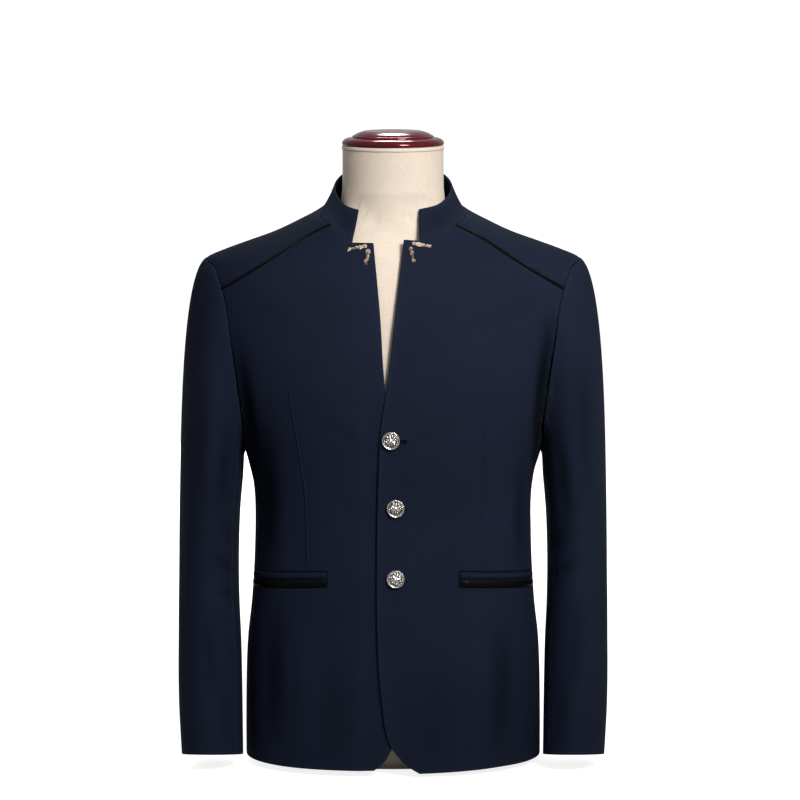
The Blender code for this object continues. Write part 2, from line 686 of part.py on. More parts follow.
def piping(side, lines, surfaces, finish):
    """A half-round satin bead along the slanted seam."""
    stations = PIPING_STATIONS
    line = spread(lines["piping"], stations)
    spine = [body_point(angle, z) for angle, z in line]
    points = []
    for i, (angle, z) in enumerate(line):
        along = (spine[min(i + 1, stations)] - spine[max(i - 1, 0)]).normalized()
        normal = body_normal(angle, z)
        across = normal.cross(along).normalized() * PIPING_WIDTH
        end_gap = PIPING_END if i == 0 else -PIPING_END if i == stations else 0.0
        start = spine[i] + along * end_gap
        low = over(surfaces, start - across / 2, normal)
        high = over(surfaces, start + across / 2, normal)
        for wide, rise in PIPING_SECTION:
            base = low.lerp(high, wide + 0.5)
            points.append(base + normal * (PIPING_BASE + rise * PIPING_RISE))
    size = len(PIPING_SECTION)
    faces = []
    for i in range(stations):
        for k in range(size):
            a, b = i * size + k, i * size + (k + 1) % size
            faces.append((a, b, b + size, a + size))
    faces.append(tuple(reversed(range(size))))
    faces.append(tuple(stations * size + k for k in range(size)))
    return solid(f"piping_{'left' if side > 0 else 'right'}", points, faces, finish)


def strip(name, side, drop, height, surfaces, finish):
    """A pocket jet lying on the front, drawn in towards the side."""
    steps, rows = JET_COLUMNS, 2
    outer, inner = [], []
    front_angle = angle_at(POCKET_FRONT_X, POCKET_TOP_FRONT_Z)
    for j in range(rows + 1):
        outer_row, inner_row = [], []
        for i in range(steps + 1):
            share = i / steps
            angle = front_angle + (math.radians(POCKET_SIDE_ANGLE) - front_angle) * share
            z = POCKET_TOP_FRONT_Z + (POCKET_TOP_SIDE_Z - POCKET_TOP_FRONT_Z) * share
            z -= drop + height * j / rows
            crown = JET_RISE if j == 1 else JET_RISE * 0.6
            outer_row.append(seated(surfaces, side * angle, z, JET_BASE + crown))
            inner_row.append(seated(surfaces, side * angle, z, JET_BASE))
        outer.append(outer_row)
        inner.append(inner_row)
    return wall(name, outer, inner, finish)


def button(number, place, surfaces, finish):
    """A turned metal button with a raised rim, a petalled middle and a shank."""
    x, z = place
    angle = angle_at(x, z)
    normal = body_normal(angle, z)
    foot = seated(surfaces, angle, z, BUTTON_SEAT)
    right = Vector((0, 0, 1)).cross(normal).normalized() * -1
    up = normal.cross(right)
    sides = BUTTON_SIDES
    points, faces = [foot.copy()], []
    for ring, (share, height) in enumerate(BUTTON_RIM + BUTTON_FLOWER):
        petalled = ring - len(BUTTON_RIM) in (0, 1)
        for k in range(sides):
            turn = 2 * math.pi * k / sides
            wave = PETAL_WAVE * math.cos(PETALS * turn) if petalled else 0.0
            spot = (right * math.cos(turn) + up * math.sin(turn)) * share * BUTTON_RADIUS
            points.append(foot + spot + normal * (height + wave))
    points.append(foot + normal * BUTTON_CENTRE)
    rings = len(BUTTON_RIM) + len(BUTTON_FLOWER)
    for k in range(sides):
        after = (k + 1) % sides
        faces.append((0, 1 + after, 1 + k))
        for r in range(rings - 1):
            low, high = 1 + r * sides, 1 + (r + 1) * sides
            faces.append((low + k, low + after, high + after, high + k))
        last = 1 + (rings - 1) * sides
        faces.append((last + k, last + after, len(points) - 1))
    return solid(f"button_{number}", points, faces, finish)


def spray(name, foot, tip, surfaces, finish):
    """A narrow spray whose outline steps out and in at each pair of leaves."""
    parts = LEAF_STEPS
    steps = SPRAY_LEAVES * parts
    outer, inner = [], []
    run = Vector((tip[0] - foot[0], tip[1] - foot[1]))
    square = Vector((-run.y, run.x)).normalized()
    for j in (-1, 0, 1):
        outer_row, inner_row = [], []
        for i in range(steps + 1):
            share = i / steps
            open_out = (1 - LEAF_WAIST) * (i % parts) / (parts - 1)
            tooth = LEAF_WAIST + open_out if i < steps else LEAF_TIP
            wide = SPRAY_HALF_WIDTH * tooth * (1 - SPRAY_TAPER * share)
            spot = Vector(foot) + run * share + square * j * wide
            angle = angle_at(spot.x, spot.y)
            rise = SPRAY_CROWN if j == 0 else SPRAY_EDGE
            outer_row.append(seated(surfaces, angle, spot.y, SPRAY_BASE + rise))
            inner_row.append(seated(surfaces, angle, spot.y, SPRAY_BASE))
        outer.append(outer_row)
        inner.append(inner_row)
    return wall(name, outer, inner, finish)


def form_section(z):
    """Half width and depths of the form, clear of the cloth."""
    half = smooth_value(BODY, HALF_WIDTH, z)
    front = smooth_value(BODY, FRONT_DEPTH, z)
    back = smooth_value(BODY, BACK_DEPTH, z)
    return min(half, FORM_ARM_END), front, back


def round_neck(spot):
    """Keeps the throat of the form as wide as its neck."""
    away = Vector((spot.x, spot.y - CENTRE_Y))
    if spot.z < THROAT_Z or away.length > NECK_RADIUS:
        return spot
    away *= NECK_RADIUS / away.length
    return Vector((away.x, away.y + CENTRE_Y, spot.z))


def form_body(finish):
    """The linen torso: body sections drawn in under the cloth, then the neck."""
    sides = FORM_SIDES
    points, faces = [], []
    for z in FORM_ROWS:
        half, front, back = form_section(z)
        ease = min(max((FORM_SHOULDER_Z - z) / FORM_EASE, 0.0), 1.0)
        clear = FORM_CLEAR_SHOULDER + (FORM_CLEAR_BODY - FORM_CLEAR_SHOULDER) * ease
        neck_ease = min(max((z - FORM_COLLAR_Z) / FORM_COLLAR_EASE, 0.0), 1.0)
        taper = FORM_BASE_TAPER * (1 - min(z / FORM_TAPER_TOP_Z, 1.0)) ** 2
        for k in range(sides):
            angle = 2 * math.pi * k / sides - math.pi
            depth = front if math.cos(angle) > 0 else back
            power = 2.0 / ROUNDNESS
            x = math.copysign((half - taper) * abs(math.sin(angle)) ** power, math.sin(angle))
            y = -math.copysign((depth - taper) * abs(math.cos(angle)) ** power, math.cos(angle))
            normal = body_normal(angle, z)
            spot = Vector((x, y + CENTRE_Y, z))
            near_neck = min(max((FORM_COLLAR_X - abs(x)) / FORM_COLLAR_EASE, 0.0), 1.0) * neck_ease
            drop = clear + FORM_CLEAR_COLLAR * near_neck
            if z < FORM_UPRIGHT_Z:
                normal = Vector((normal.x, normal.y, 0)).normalized()
            points.append(round_neck(spot - normal * drop))
    for z, radius in FORM_NECK:
        for k in range(sides):
            angle = 2 * math.pi * k / sides - math.pi
            x, y = radius * math.sin(angle), CENTRE_Y - radius * math.cos(angle)
            points.append(Vector((x, y, z)))
    rings = len(FORM_ROWS) + len(FORM_NECK)
    for r in range(rings - 1):
        for k in range(sides):
            a, b = r * sides + k, r * sides + (k + 1) % sides
            faces.append((a, b, b + sides, a + sides))
    faces.append(tuple(reversed(range(sides))))
    faces.append(tuple((rings - 1) * sides + k for k in range(sides)))
    return solid("form_body", points, faces, finish)


def form_cap(finish):
    """The turned cap on the neck: two steps with rounded edges."""
    base = NECK_TOP_Z + SEAM
    sides = CAP_SIDES
    points, faces = [], []
    for radius, height in CAP_PROFILE:
        for k in range(sides):
            turn = 2 * math.pi * k / sides
            y = CENTRE_Y + radius * math.sin(turn)
            points.append(Vector((radius * math.cos(turn), y, base + height)))
    for r in range(len(CAP_PROFILE) - 1):
        for k in range(sides):
            a, b = r * sides + k, r * sides + (k + 1) % sides
            faces.append((a, b, b + sides, a + sides))
    faces.append(tuple(reversed(range(sides))))
    faces.append(tuple((len(CAP_PROFILE) - 1) * sides + k for k in range(sides)))
    return solid("form_cap", points, faces, finish)


def main():
    for existing in list(bpy.data.objects):
        bpy.data.objects.remove(existing, do_unlink=True)
    navy = material("navy_cloth", NAVY, 0.85)
    satin = material("black_satin", SATIN, 0.35)
    silver = material("button_silver", SILVER, 0.28, 1.0)
    thread = material("spray_thread", THREAD, 0.5)
    all_lines = {side: lines_of(side) for side in (1, -1)}
    for side, lines in all_lines.items():
        word = "left" if side > 0 else "right"
        front = front_panel(side, lines, navy)
        side_panel(side, lines, navy)
        back_panel(side, lines, navy)
        yoke = yoke_panel(side, lines, navy)
        sleeve(side, lines, navy)
        front_surface = surface_of(front)
        piping(side, lines, [front_surface, surface_of(yoke)], satin)
        strip(f"pocket_jet_{word}", side, 0.0, JET_HEIGHT, [front_surface], navy)
        strip(f"pocket_satin_{word}", side, JET_STEP, JET_HEIGHT, [front_surface], satin)
        for name, foot, tip in SPRAYS:
            if f"_{word}_" in name:
                spray(name, foot, tip, [front_surface], thread)
        if side > 0:
            for number, place in enumerate(BUTTON_PLACES, start=1):
                button(number, place, [front_surface], silver)
    collar(all_lines, navy)
    form_body(material("form_linen", LINEN, 0.9))
    form_cap(material("cherry_lacquer", LACQUER, 0.2))


main()
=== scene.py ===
"""Stand-collar suit jacket on a dress form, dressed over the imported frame."""
import math

import bmesh
import bpy
import numpy as np
from bpy.props import FloatProperty, FloatVectorProperty, IntProperty, PointerProperty
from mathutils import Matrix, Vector
from mathutils.bvhtree import BVHTree


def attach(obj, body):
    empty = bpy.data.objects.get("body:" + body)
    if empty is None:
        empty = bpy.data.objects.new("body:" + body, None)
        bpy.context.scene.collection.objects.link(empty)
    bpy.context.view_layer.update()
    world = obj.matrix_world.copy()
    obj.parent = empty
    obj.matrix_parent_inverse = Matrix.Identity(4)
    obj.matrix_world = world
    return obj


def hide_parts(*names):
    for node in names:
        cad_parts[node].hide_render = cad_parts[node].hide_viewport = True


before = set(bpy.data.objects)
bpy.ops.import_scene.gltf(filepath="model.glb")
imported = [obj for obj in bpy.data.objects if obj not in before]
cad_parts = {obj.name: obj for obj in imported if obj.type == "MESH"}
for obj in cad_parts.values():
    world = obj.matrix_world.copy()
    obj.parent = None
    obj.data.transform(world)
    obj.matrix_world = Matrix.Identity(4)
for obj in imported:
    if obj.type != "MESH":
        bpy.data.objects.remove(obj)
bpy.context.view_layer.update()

bl_info = {
    "name": "Stand-collar suit jacket",
    "version": (1, 0, 0),
    "blender": (4, 5, 0),
    "location": "3D Viewport > Sidebar > Jacket",
    "description": "Cuts and finishes the jacket and its dress form on the packed frame",
    "category": "Object",
}

# Sizes of the cut, in metres and degrees
SEAM = 0.0003
LAP_DEPTH = 0.0027
ROUNDNESS = 2.25
CENTRE_Y = 0.004
HEM_Z = 0.008
ARMPIT_Z = 0.392
SIDE_SEAM_TOP_Z = 0.400
SHOULDER_TIP_Z = 0.636
NECK_SIDE_Z = 0.703
WIDEST_Z = 0.590
BACK_NECK_Z = 0.716
FRONT_SEAM_ANGLE = 83.0
BACK_SEAM_TOP_ANGLE = 104.0
BACK_SEAM_HEM_ANGLE = 118.0
YOKE_NECK_ANGLE, YOKE_NECK_Z = 66.0, 0.6925
BACK_NECK_ANGLE, BACK_NECK_TURN_Z = 130.0, 0.7130
UNDERARM_ANGLE = 93.0
BUTTON_PLACES = [(-0.0024, 0.4219), (0.0034, 0.3369), (0.0034, 0.2487)]
POCKET_FRONT_X = 0.082
POCKET_SIDE_ANGLE = 80.5
POCKET_TOP_FRONT_Z = 0.2562
POCKET_TOP_SIDE_Z = 0.2445
JET_HEIGHT = 0.0090
JET_STEP = 0.0100
JET_RISE = 0.0020
JET_FOOT = 0.0005
JET_PUCKER = 0.00028
POCKET_SEAM_RISES = ((0.0008, 1.0), (-0.0198, 0.9))
BAR_TACK_X = -0.0008
BAR_TACK_TOP, BAR_TACK_FOOT = 0.0005, -0.0195
BUTTON_FACE = 0.0034
BUTTON_RELIEF = 0.0015
BUTTON_DOME = 0.0008
BUTTONHOLE_ENDS = (0.0187, 0.0122, 0.0122)
BUTTONHOLE_START = -0.004
BUTTONHOLE_DROP = -0.002
BUTTONHOLE_HALF = 0.0011
BUTTONHOLE_END_HALF = 0.0015
PIPING_WIDTH = 0.0042
NECK_RADIUS = 0.0628
NECK_TOP_Z = 0.7745
FORM_CLEAR_SHOULDER = 0.0063
FORM_CLEAR_COLLAR = 0.0072
FORM_CLEAR_BODY = 0.0090
FORM_ARM_END = 0.206
FORM_BASE_TAPER = 0.045
FORM_TAPER_TOP_Z = 0.090
FORM_EASE_TOP_Z, FORM_EASE = 0.665, 0.12
FORM_COLLAR_Z, FORM_COLLAR_X, FORM_COLLAR_FADE = 0.640, 0.126, 0.030
FORM_LEVEL_TOP_Z = 0.62
THROAT_Z = 0.670
FORM_ROWS = [0.0, 0.006, 0.018, 0.036, 0.060, 0.11, 0.16, 0.21, 0.26, 0.31, 0.345, 0.380, 0.42,
             0.47, 0.52, 0.57, 0.605, 0.628, 0.642, 0.652, 0.662, 0.672, 0.682, 0.692, 0.700, 0.708]
# Above the throat: height, radius
FORM_NECK = [(0.7190, 0.0634), (0.7260, 0.0630), (0.7450, NECK_RADIUS), (NECK_TOP_Z, NECK_RADIUS)]
CAP_ROWS = 8
CAP_CROWDING = 1.15
CAP_LEAVE_OUT, CAP_LEAVE_OUT_TOP = 0.012, 0.073
CAP_LEAVE_DOWN, CAP_LEAVE_DOWN_TOP = 0.012, 0.020
CAP_ARRIVE = 0.030
CAP_PUCKER = 0.00035
SLEEVE_FRONT_SEAM, SLEEVE_BACK_SEAM = 2, 17
TRIM_START, TRIM_REACH = 0.010, 0.016
LAP_SIDE_X, LAP_SIDE_FADE = -0.046, 0.022
LAP_TOP_Z, LAP_TOP_FADE = 0.575, 0.075
LAP_LIFT = 0.0022
LAP_LIFT_REACH = 0.009
LAP_HELD_TOP_Z, LAP_HELD_TOP_FADE = 0.44, 0.05
LAP_HELD_FOOT_Z, LAP_HELD_FOOT_FADE = 0.03, 0.04
# Depth of a crease at which the painted shade in its hollow is darkest
CREASE_SHADE_DEPTH = 0.0036
FLOOR_GLOW = 0.84
STUDIO_DARK = 0.42
STUDIO_BRIGHT = 0.60
BRIGHT_SIDE = (0.72, -0.66, 0.20)
FLOOR_RADIUS = 90.0
CAMERA_PLACE = (0.00868, -5.0, 1.10)
CAMERA_AIM_Z = 0.4562
CAMERA_LENS = 181.44
# Lights: name, place, point it aims at, size, power, colour, spread in degrees, seen in shine
LIGHTS = [
    ("key", (1.0, -1.9, 1.85), (0.14, 0.0, 0.58), (0.8, 0.8), 6.5, (1.0, 0.99, 0.97), 38, True),
    ("back", (-0.9, 2.6, 0.8), (0.0, 0.0, 0.40), (1.6, 1.6), 80.0, (1.0, 1.0, 1.0), 180, False),
    ("window", (0.0, 0.55, 1.35), (0.0, 0.0, 0.79), (0.30, 0.10), 0.09, (1.0, 1.0, 1.0), 17, True),
]
SEAM_WIDTH = 0.0026
EDGE_STEPS = (0.0005, 0.0012, 0.0026)

# Body sections, outside of the cloth: height, half width, front depth, back depth
BODY = [
    (0.000, 0.1855, 0.1240, 0.1200),
    (0.060, 0.1855, 0.1225, 0.1190),
    (0.120, 0.1845, 0.1205, 0.1160),
    (0.160, 0.1825, 0.1188, 0.1118),
    (0.200, 0.1780, 0.1170, 0.1065),
    (0.240, 0.1750, 0.1155, 0.1005),
    (0.290, 0.1731, 0.1145, 0.0945),
    (0.330, 0.1735, 0.1155, 0.0930),
    (0.355, 0.1757, 0.1172, 0.0950),
    (0.375, 0.1800, 0.1190, 0.0975),
    (0.392, 0.1845, 0.1206, 0.1000),
    (0.420, 0.1940, 0.1232, 0.1040),
    (0.460, 0.2080, 0.1255, 0.1095),
    (0.500, 0.2210, 0.1258, 0.1135),
    (0.550, 0.2360, 0.1215, 0.1150),
    (0.590, 0.2430, 0.1130, 0.1130),
    (0.615, 0.2425, 0.1050, 0.1090),
    (0.628, 0.2365, 0.1000, 0.1055),
    (0.636, 0.2304, 0.0965, 0.1030),
    (0.644, 0.2120, 0.0930, 0.1000),
    (0.654, 0.1850, 0.0888, 0.0960),
    (0.667, 0.1495, 0.0830, 0.0900),
    (0.685, 0.1120, 0.0760, 0.0820),
    (0.695, 0.0935, 0.0725, 0.0775),
    (0.706, 0.0790, 0.0705, 0.0740),
    (0.716, 0.0725, 0.0700, 0.0720),
    (0.730, 0.0700, 0.0695, 0.0705),
]
HALF_WIDTH, FRONT_DEPTH, BACK_DEPTH = 1, 2, 3
BODY_ROWS = [HEM_Z, 0.014, 0.024, 0.040, 0.063, 0.095, 0.130, 0.165, 0.200, 0.235]
BODY_ROWS += [0.270, 0.310, 0.350, 0.380, SIDE_SEAM_TOP_Z]
UPPER_ROWS = [0.432, 0.464, 0.4888, 0.530, 0.580, 0.620]

# Front edges, from the hem corner up to the lapel corner: height, x
LEFT_EDGE = [
    (0.0054, 0.0330), (0.0117, 0.0228), (0.0221, 0.0105), (0.0397, -0.0029),
    (0.063, -0.0099), (0.084, -0.0125), (0.131, -0.0174), (0.199, -0.0198),
    (0.299, -0.0197), (0.386, -0.0175), (0.429, -0.0157), (0.450, -0.0133),
    (0.472, -0.0097), (0.489, -0.0072), (0.580, 0.0032), (0.6647, 0.0133),
]
RIGHT_EDGE = [
    (0.0089, -0.0240), (0.0135, -0.0175), (0.0230, -0.0085), (0.0390, -0.0005),
    (0.063, 0.0050), (0.084, 0.0080), (0.131, 0.0120), (0.199, 0.0145),
    (0.299, 0.0155), (0.386, 0.0120), (0.430, 0.0040), (0.460, -0.0040),
    (0.4864, -0.0097), (0.580, -0.0160), (0.6607, -0.0238),
]
# Armhole lines: height, x
ARM_FRONT = [(0.430, 0.1870), (0.488, 0.1937), (0.563, 0.2032), (0.6023, 0.2105)]
ARM_YOKE = [(0.6023, 0.2105), (0.618, 0.2168), (0.629, 0.2230)]
ARM_BACK = [(0.430, 0.1860), (0.488, 0.1905), (0.563, 0.1990), (0.599, 0.2060), (0.622, 0.2165)]
# Piped seam and neck seams: x, height
PIPED_SEAM = [(0.0765, 0.6815), (0.108, 0.6655), (0.147, 0.6412), (0.2105, 0.6023)]
NECK_SEAM_LEFT = [(0.0322, 0.6635), (0.0560, 0.6715), (0.0765, 0.6815)]
NECK_SEAM_RIGHT = [(0.0500, 0.6612), (0.0640, 0.6705), (0.0765, 0.6815)]

# Sleeve rings: height, inner x, outer x, centre y, half depth, slant of the ring
SLEEVE = [
    (0.360, 0.1880, 0.2672, 0.006, 0.0730, 0.00),
    (0.320, 0.1915, 0.2680, 0.005, 0.0700, 0.00),
    (0.280, 0.1932, 0.2685, 0.002, 0.0668, 0.00),
    (0.240, 0.1935, 0.2687, -0.004, 0.0635, 0.02),
    (0.200, 0.1925, 0.2690, -0.012, 0.0605, 0.04),
    (0.160, 0.1905, 0.2690, -0.020, 0.0580, 0.07),
    (0.120, 0.1893, 0.2690, -0.029, 0.0556, 0.10),
    (0.080, 0.1885, 0.2682, -0.037, 0.0535, 0.13),
    (0.045, 0.1880, 0.2664, -0.043, 0.0518, 0.16),
    (0.0155, 0.1876, 0.2645, -0.048, 0.0505, 0.19),
]
# Top edge of each half of the stand collar: x, y, height
COLLAR_TOP_LEFT = [(0.0325, -0.0560, 0.7005), (0.0565, -0.0430, 0.7060), (0.0705, -0.0150, 0.7175),
                   (0.0710, 0.0180, 0.7310), (0.0520, 0.0560, 0.7400), (0.0, 0.0740, 0.7430)]
COLLAR_TOP_RIGHT = [(0.0424, -0.0525, 0.6995), (0.0590, -0.0400, 0.7045), (0.0705, -0.0150, 0.7165),
                    (0.0710, 0.0180, 0.7300), (0.0520, 0.0560, 0.7400), (0.0, 0.0740, 0.7430)]

# Soft troughs and ridges of the body: foot x, foot z, head x, head z, bow, half width, height
FRONT_CREASES = [
    (-0.1600, 0.250, -0.1620, 0.440, 0.0040, 0.0180, -0.0034),
    (-0.1705, 0.290, -0.1900, 0.530, 0.0030, 0.0120, -0.0052),
    (-0.1380, 0.250, -0.1300, 0.390, 0.0000, 0.0110, 0.0012),
    (-0.1480, 0.030, -0.1450, 0.210, -0.0040, 0.0170, -0.0026),
    (-0.1180, 0.012, -0.1130, 0.180, 0.0020, 0.0140, 0.0014),
    (-0.0650, 0.012, -0.0720, 0.150, 0.0000, 0.0200, -0.0010),
    (-0.0300, 0.330, -0.0900, 0.352, 0.0040, 0.0060, -0.0006),
    (-0.0300, 0.410, -0.1000, 0.450, 0.0040, 0.0070, -0.0006),
    (0.1750, 0.310, 0.1960, 0.570, -0.0030, 0.0120, -0.0056),
    (0.1480, 0.390, 0.1700, 0.530, -0.0040, 0.0100, 0.0010),
    (0.1560, 0.250, 0.1570, 0.390, 0.0020, 0.0120, -0.0018),
    (0.1300, 0.018, 0.1350, 0.190, 0.0040, 0.0180, -0.0022),
    (0.0980, 0.012, 0.1030, 0.170, -0.0020, 0.0150, 0.0012),
    (0.0520, 0.012, 0.0560, 0.120, 0.0000, 0.0200, -0.0008),
    (0.0200, 0.333, 0.0900, 0.322, 0.0030, 0.0060, -0.0005),
    (0.0220, 0.418, 0.0820, 0.442, -0.0030, 0.0070, -0.0006),
    (0.0200, 0.250, 0.0700, 0.262, 0.0020, 0.0060, -0.0004),
    (-0.1200, 0.560, -0.1750, 0.590, 0.0040, 0.0090, -0.0008),
    (0.1250, 0.565, 0.1800, 0.590, -0.0040, 0.0090, -0.0008),
]
BACK_CREASES = [
    (-0.1350, 0.270, -0.1500, 0.430, 0.0040, 0.0140, -0.0030),
    (0.1400, 0.260, 0.1480, 0.420, -0.0040, 0.0150, -0.0028),
    (-0.1500, 0.420, -0.1650, 0.540, 0.0050, 0.0120, -0.0026),
    (0.1520, 0.410, 0.1680, 0.530, -0.0050, 0.0110, -0.0028),
    (-0.0450, 0.300, -0.1050, 0.330, 0.0050, 0.0090, -0.0014),
    (0.0400, 0.290, 0.1100, 0.325, -0.0050, 0.0090, -0.0015),
    (-0.0500, 0.255, -0.1000, 0.270, 0.0030, 0.0080, 0.0010),
    (0.0550, 0.250, 0.0980, 0.268, -0.0030, 0.0080, 0.0010),
    (-0.0700, 0.015, -0.0760, 0.190, 0.0030, 0.0180, -0.0020),
    (0.0740, 0.015, 0.0800, 0.200, -0.0030, 0.0180, -0.0022),
    (-0.1150, 0.015, -0.1180, 0.160, 0.0000, 0.0150, 0.0014),
    (0.1180, 0.015, 0.1200, 0.150, 0.0000, 0.0150, 0.0013),
    (-0.0300, 0.688, 0.0300, 0.688, 0.0000, 0.0070, -0.0008),
    (-0.0800, 0.600, -0.1400, 0.570, 0.0060, 0.0120, -0.0010),
    (0.0850, 0.600, 0.1450, 0.575, -0.0060, 0.0120, -0.0011),
]
# Soft folds of a sleeve: turn and height of the foot and the head, half width, height
SLEEVE_CREASES = {
    1: [
        (-78, 0.330, -58, 0.520, 0.0120, -0.0016), (-112, 0.300, -120, 0.420, 0.0110, -0.0020),
        (-160, 0.236, -92, 0.262, 0.0065, -0.0014), (-165, 0.268, -105, 0.300, 0.0070, -0.0012),
        (-160, 0.205, -110, 0.222, 0.0060, 0.0008), (-100, 0.100, -88, 0.215, 0.0110, -0.0016),
        (-62, 0.040, -74, 0.140, 0.0120, 0.0012), (-30, 0.110, -38, 0.300, 0.0120, -0.0012),
        (-125, 0.028, -118, 0.120, 0.0100, -0.0012), (40, 0.240, 95, 0.285, 0.0090, -0.0014),
        (60, 0.205, 120, 0.232, 0.0080, 0.0010), (110, 0.300, 96, 0.430, 0.0120, -0.0018),
        (80, 0.060, 88, 0.180, 0.0120, -0.0012), (150, 0.330, 132, 0.400, 0.0080, -0.0016),
        (20, 0.330, 12, 0.500, 0.0140, -0.0010),
    ],
    -1: [
        (-74, 0.320, -62, 0.500, 0.0120, -0.0014), (-116, 0.320, -116, 0.430, 0.0110, -0.0018),
        (-164, 0.212, -104, 0.226, 0.0055, -0.0014), (-158, 0.240, -96, 0.270, 0.0070, -0.0014),
        (-165, 0.282, -112, 0.306, 0.0070, -0.0010), (-96, 0.090, -92, 0.200, 0.0110, -0.0014),
        (-58, 0.050, -68, 0.150, 0.0120, 0.0010), (-34, 0.130, -30, 0.320, 0.0120, -0.0014),
        (-128, 0.030, -120, 0.110, 0.0100, -0.0010), (44, 0.250, 100, 0.292, 0.0090, -0.0013),
        (56, 0.212, 116, 0.238, 0.0080, 0.0010), (112, 0.310, 98, 0.440, 0.0120, -0.0016),
        (84, 0.070, 86, 0.190, 0.0120, -0.0013), (152, 0.335, 136, 0.402, 0.0080, -0.0015),
        (24, 0.340, 10, 0.490, 0.0140, -0.0010),
    ],
}
# Front darts: side, then x and height down the sewn line
DARTS = {
    -1: [(-0.1273, 0.4753), (-0.1190, 0.4230), (-0.1107, 0.3712), (-0.1068, 0.3150), (-0.1059, 0.2600)],
    1: [(0.1141, 0.4592), (0.1118, 0.4200), (0.1106, 0.3799), (0.1108, 0.3150), (0.1117, 0.2610)],
}
# Leaf sprays at the lapel corners: solid, x and height of the stem's foot and tip
SPRAYS = [
    ("spray_left_across", 1, (0.0235, 0.6599), (0.0450, 0.6563)),
    ("spray_left_down", 1, (0.0212, 0.6557), (0.0256, 0.6388)),
    ("spray_right_across", -1, (-0.0318, 0.6571), (-0.0535, 0.6527)),
    ("spray_right_down", -1, (-0.0299, 0.6530), (-0.0330, 0.6366)),
]


def length_field(name, description, value):
    return FloatProperty(name=name, description=description, default=value, unit="LENGTH")


def colour_field(name, description, value):
    return FloatVectorProperty(name=name, description=description, default=value, subtype="COLOR")


class JacketSizes(bpy.types.PropertyGroup):
    """Sizes that a tailor would change."""
    fineness: IntProperty(
        name="Fineness", description="Steps between the rows of the cut", default=6, min=2, max=8)
    crease: FloatProperty(
        name="Creases", description="Share of the full depth of the creases", default=1.0,
        subtype="FACTOR", min=0.0, max=2.0)
    cloth: length_field("Cloth", "Thickness of the cloth", 0.0018)
    collar_cloth: length_field("Collar", "Thickness of the collar", 0.0030)
    seam_roll: length_field("Seam roll", "How deep the cloth rolls into a seam", 0.0009)
    thread: length_field("Thread", "Width of one thread of the weave", 0.00045)
    button_radius: length_field("Button", "Radius of a button", 0.0113)
    stitch: length_field("Stitch", "Step between buttonhole stitches", 0.00055)


class JacketColours(bpy.types.PropertyGroup):
    """Colours of the cloth, the trims, the form and the floor."""
    navy: colour_field("Navy", "Suit cloth", (0.0051, 0.0075, 0.0160))
    navy_light: colour_field("Navy light", "Lighter threads of the suit cloth", (0.0082, 0.0116, 0.0238))
    satin: colour_field("Satin", "Black satin trim", (0.0014, 0.0015, 0.0018))
    silver: colour_field("Silver", "Button metal", (0.82, 0.80, 0.77))
    bronze: colour_field("Bronze", "Darker embroidery thread", (0.090, 0.047, 0.018))
    tan: colour_field("Tan", "Lighter embroidery thread", (0.70, 0.56, 0.42))
    linen: colour_field("Linen", "Cover of the form", (0.50, 0.43, 0.36))
    lacquer: colour_field("Lacquer", "Cherry lacquer of the cap", (0.120, 0.0040, 0.0130))
    floor: colour_field("Floor", "Pale floor", (0.46, 0.46, 0.46))


def sizes():
    return bpy.context.scene.jacket_sizes


def colours():
    return bpy.context.scene.jacket_colours


# Shape of the body and its seams
def clamped(share):
    """The share kept between 0 and 1."""
    return min(max(share, 0.0), 1.0)


def smooth_value(table, column, at):
    """One column of a table at a height, on a smooth curve through the rows."""
    last = len(table) - 2
    i = next((k for k in range(last) if at < table[k + 1][0]), last)
    z0, z1 = table[i][0], table[i + 1][0]
    v0, v1 = table[i][column], table[i + 1][column]

    def slope(k):
        low, high = max(k - 1, 0), min(k + 1, len(table) - 1)
        return (table[high][column] - table[low][column]) / (table[high][0] - table[low][0])

    t = clamped((at - z0) / (z1 - z0))
    step = z1 - z0
    return (
        v0 * (2 * t**3 - 3 * t**2 + 1)
        + slope(i) * step * (t**3 - 2 * t**2 + t)
        + v1 * (3 * t**2 - 2 * t**3)
        + slope(i + 1) * step * (t**3 - t**2)
    )


def section(z, front):
    """Half width and depth of the body at a height."""
    depth = FRONT_DEPTH if front else BACK_DEPTH
    return smooth_value(BODY, HALF_WIDTH, z), smooth_value(BODY, depth, z)


def round_section(half, depth, angle):
    """x and y on a section between an ellipse and a box."""
    power = 2.0 / ROUNDNESS
    x = math.copysign(half * abs(math.sin(angle)) ** power, math.sin(angle))
    y = -math.copysign(depth * abs(math.cos(angle)) ** power, math.cos(angle))
    return x, y + CENTRE_Y


def body_point(angle, z):
    """Outside of the body; the angle is 0 at the front, 90 degrees at the left side."""
    return Vector((*round_section(*section(z, math.cos(angle) > 0), angle), z))


def body_normal(angle, z):
    """Outward direction there, from the slope of the section's formula."""
    front = math.cos(angle) > 0
    half, depth = section(z, front)
    step = 0.0015
    half_up, depth_up = section(z + step, front)
    half_down, depth_down = section(z - step, front)
    point = body_point(angle, z)
    x, y = abs(point.x), abs(point.y - CENTRE_Y)
    n = ROUNDNESS
    across = math.copysign(x ** (n - 1) / half**n, point.x)
    along = math.copysign(y ** (n - 1) / depth**n, point.y - CENTRE_Y)
    up = -(x**n / half ** (n + 1)) * (half_up - half_down) / (2 * step)
    up -= (y**n / depth ** (n + 1)) * (depth_up - depth_down) / (2 * step)
    return Vector((across, along, up)).normalized()


def angle_at(x, z, front=True):
    """Angle of the body point that shows at x, on the front or on the back."""
    half = section(z, front)[0]
    angle = math.asin(min(abs(x) / half, 1.0) ** (ROUNDNESS / 2))
    if not front:
        angle = math.pi - angle
    return math.copysign(angle, x) if x else angle


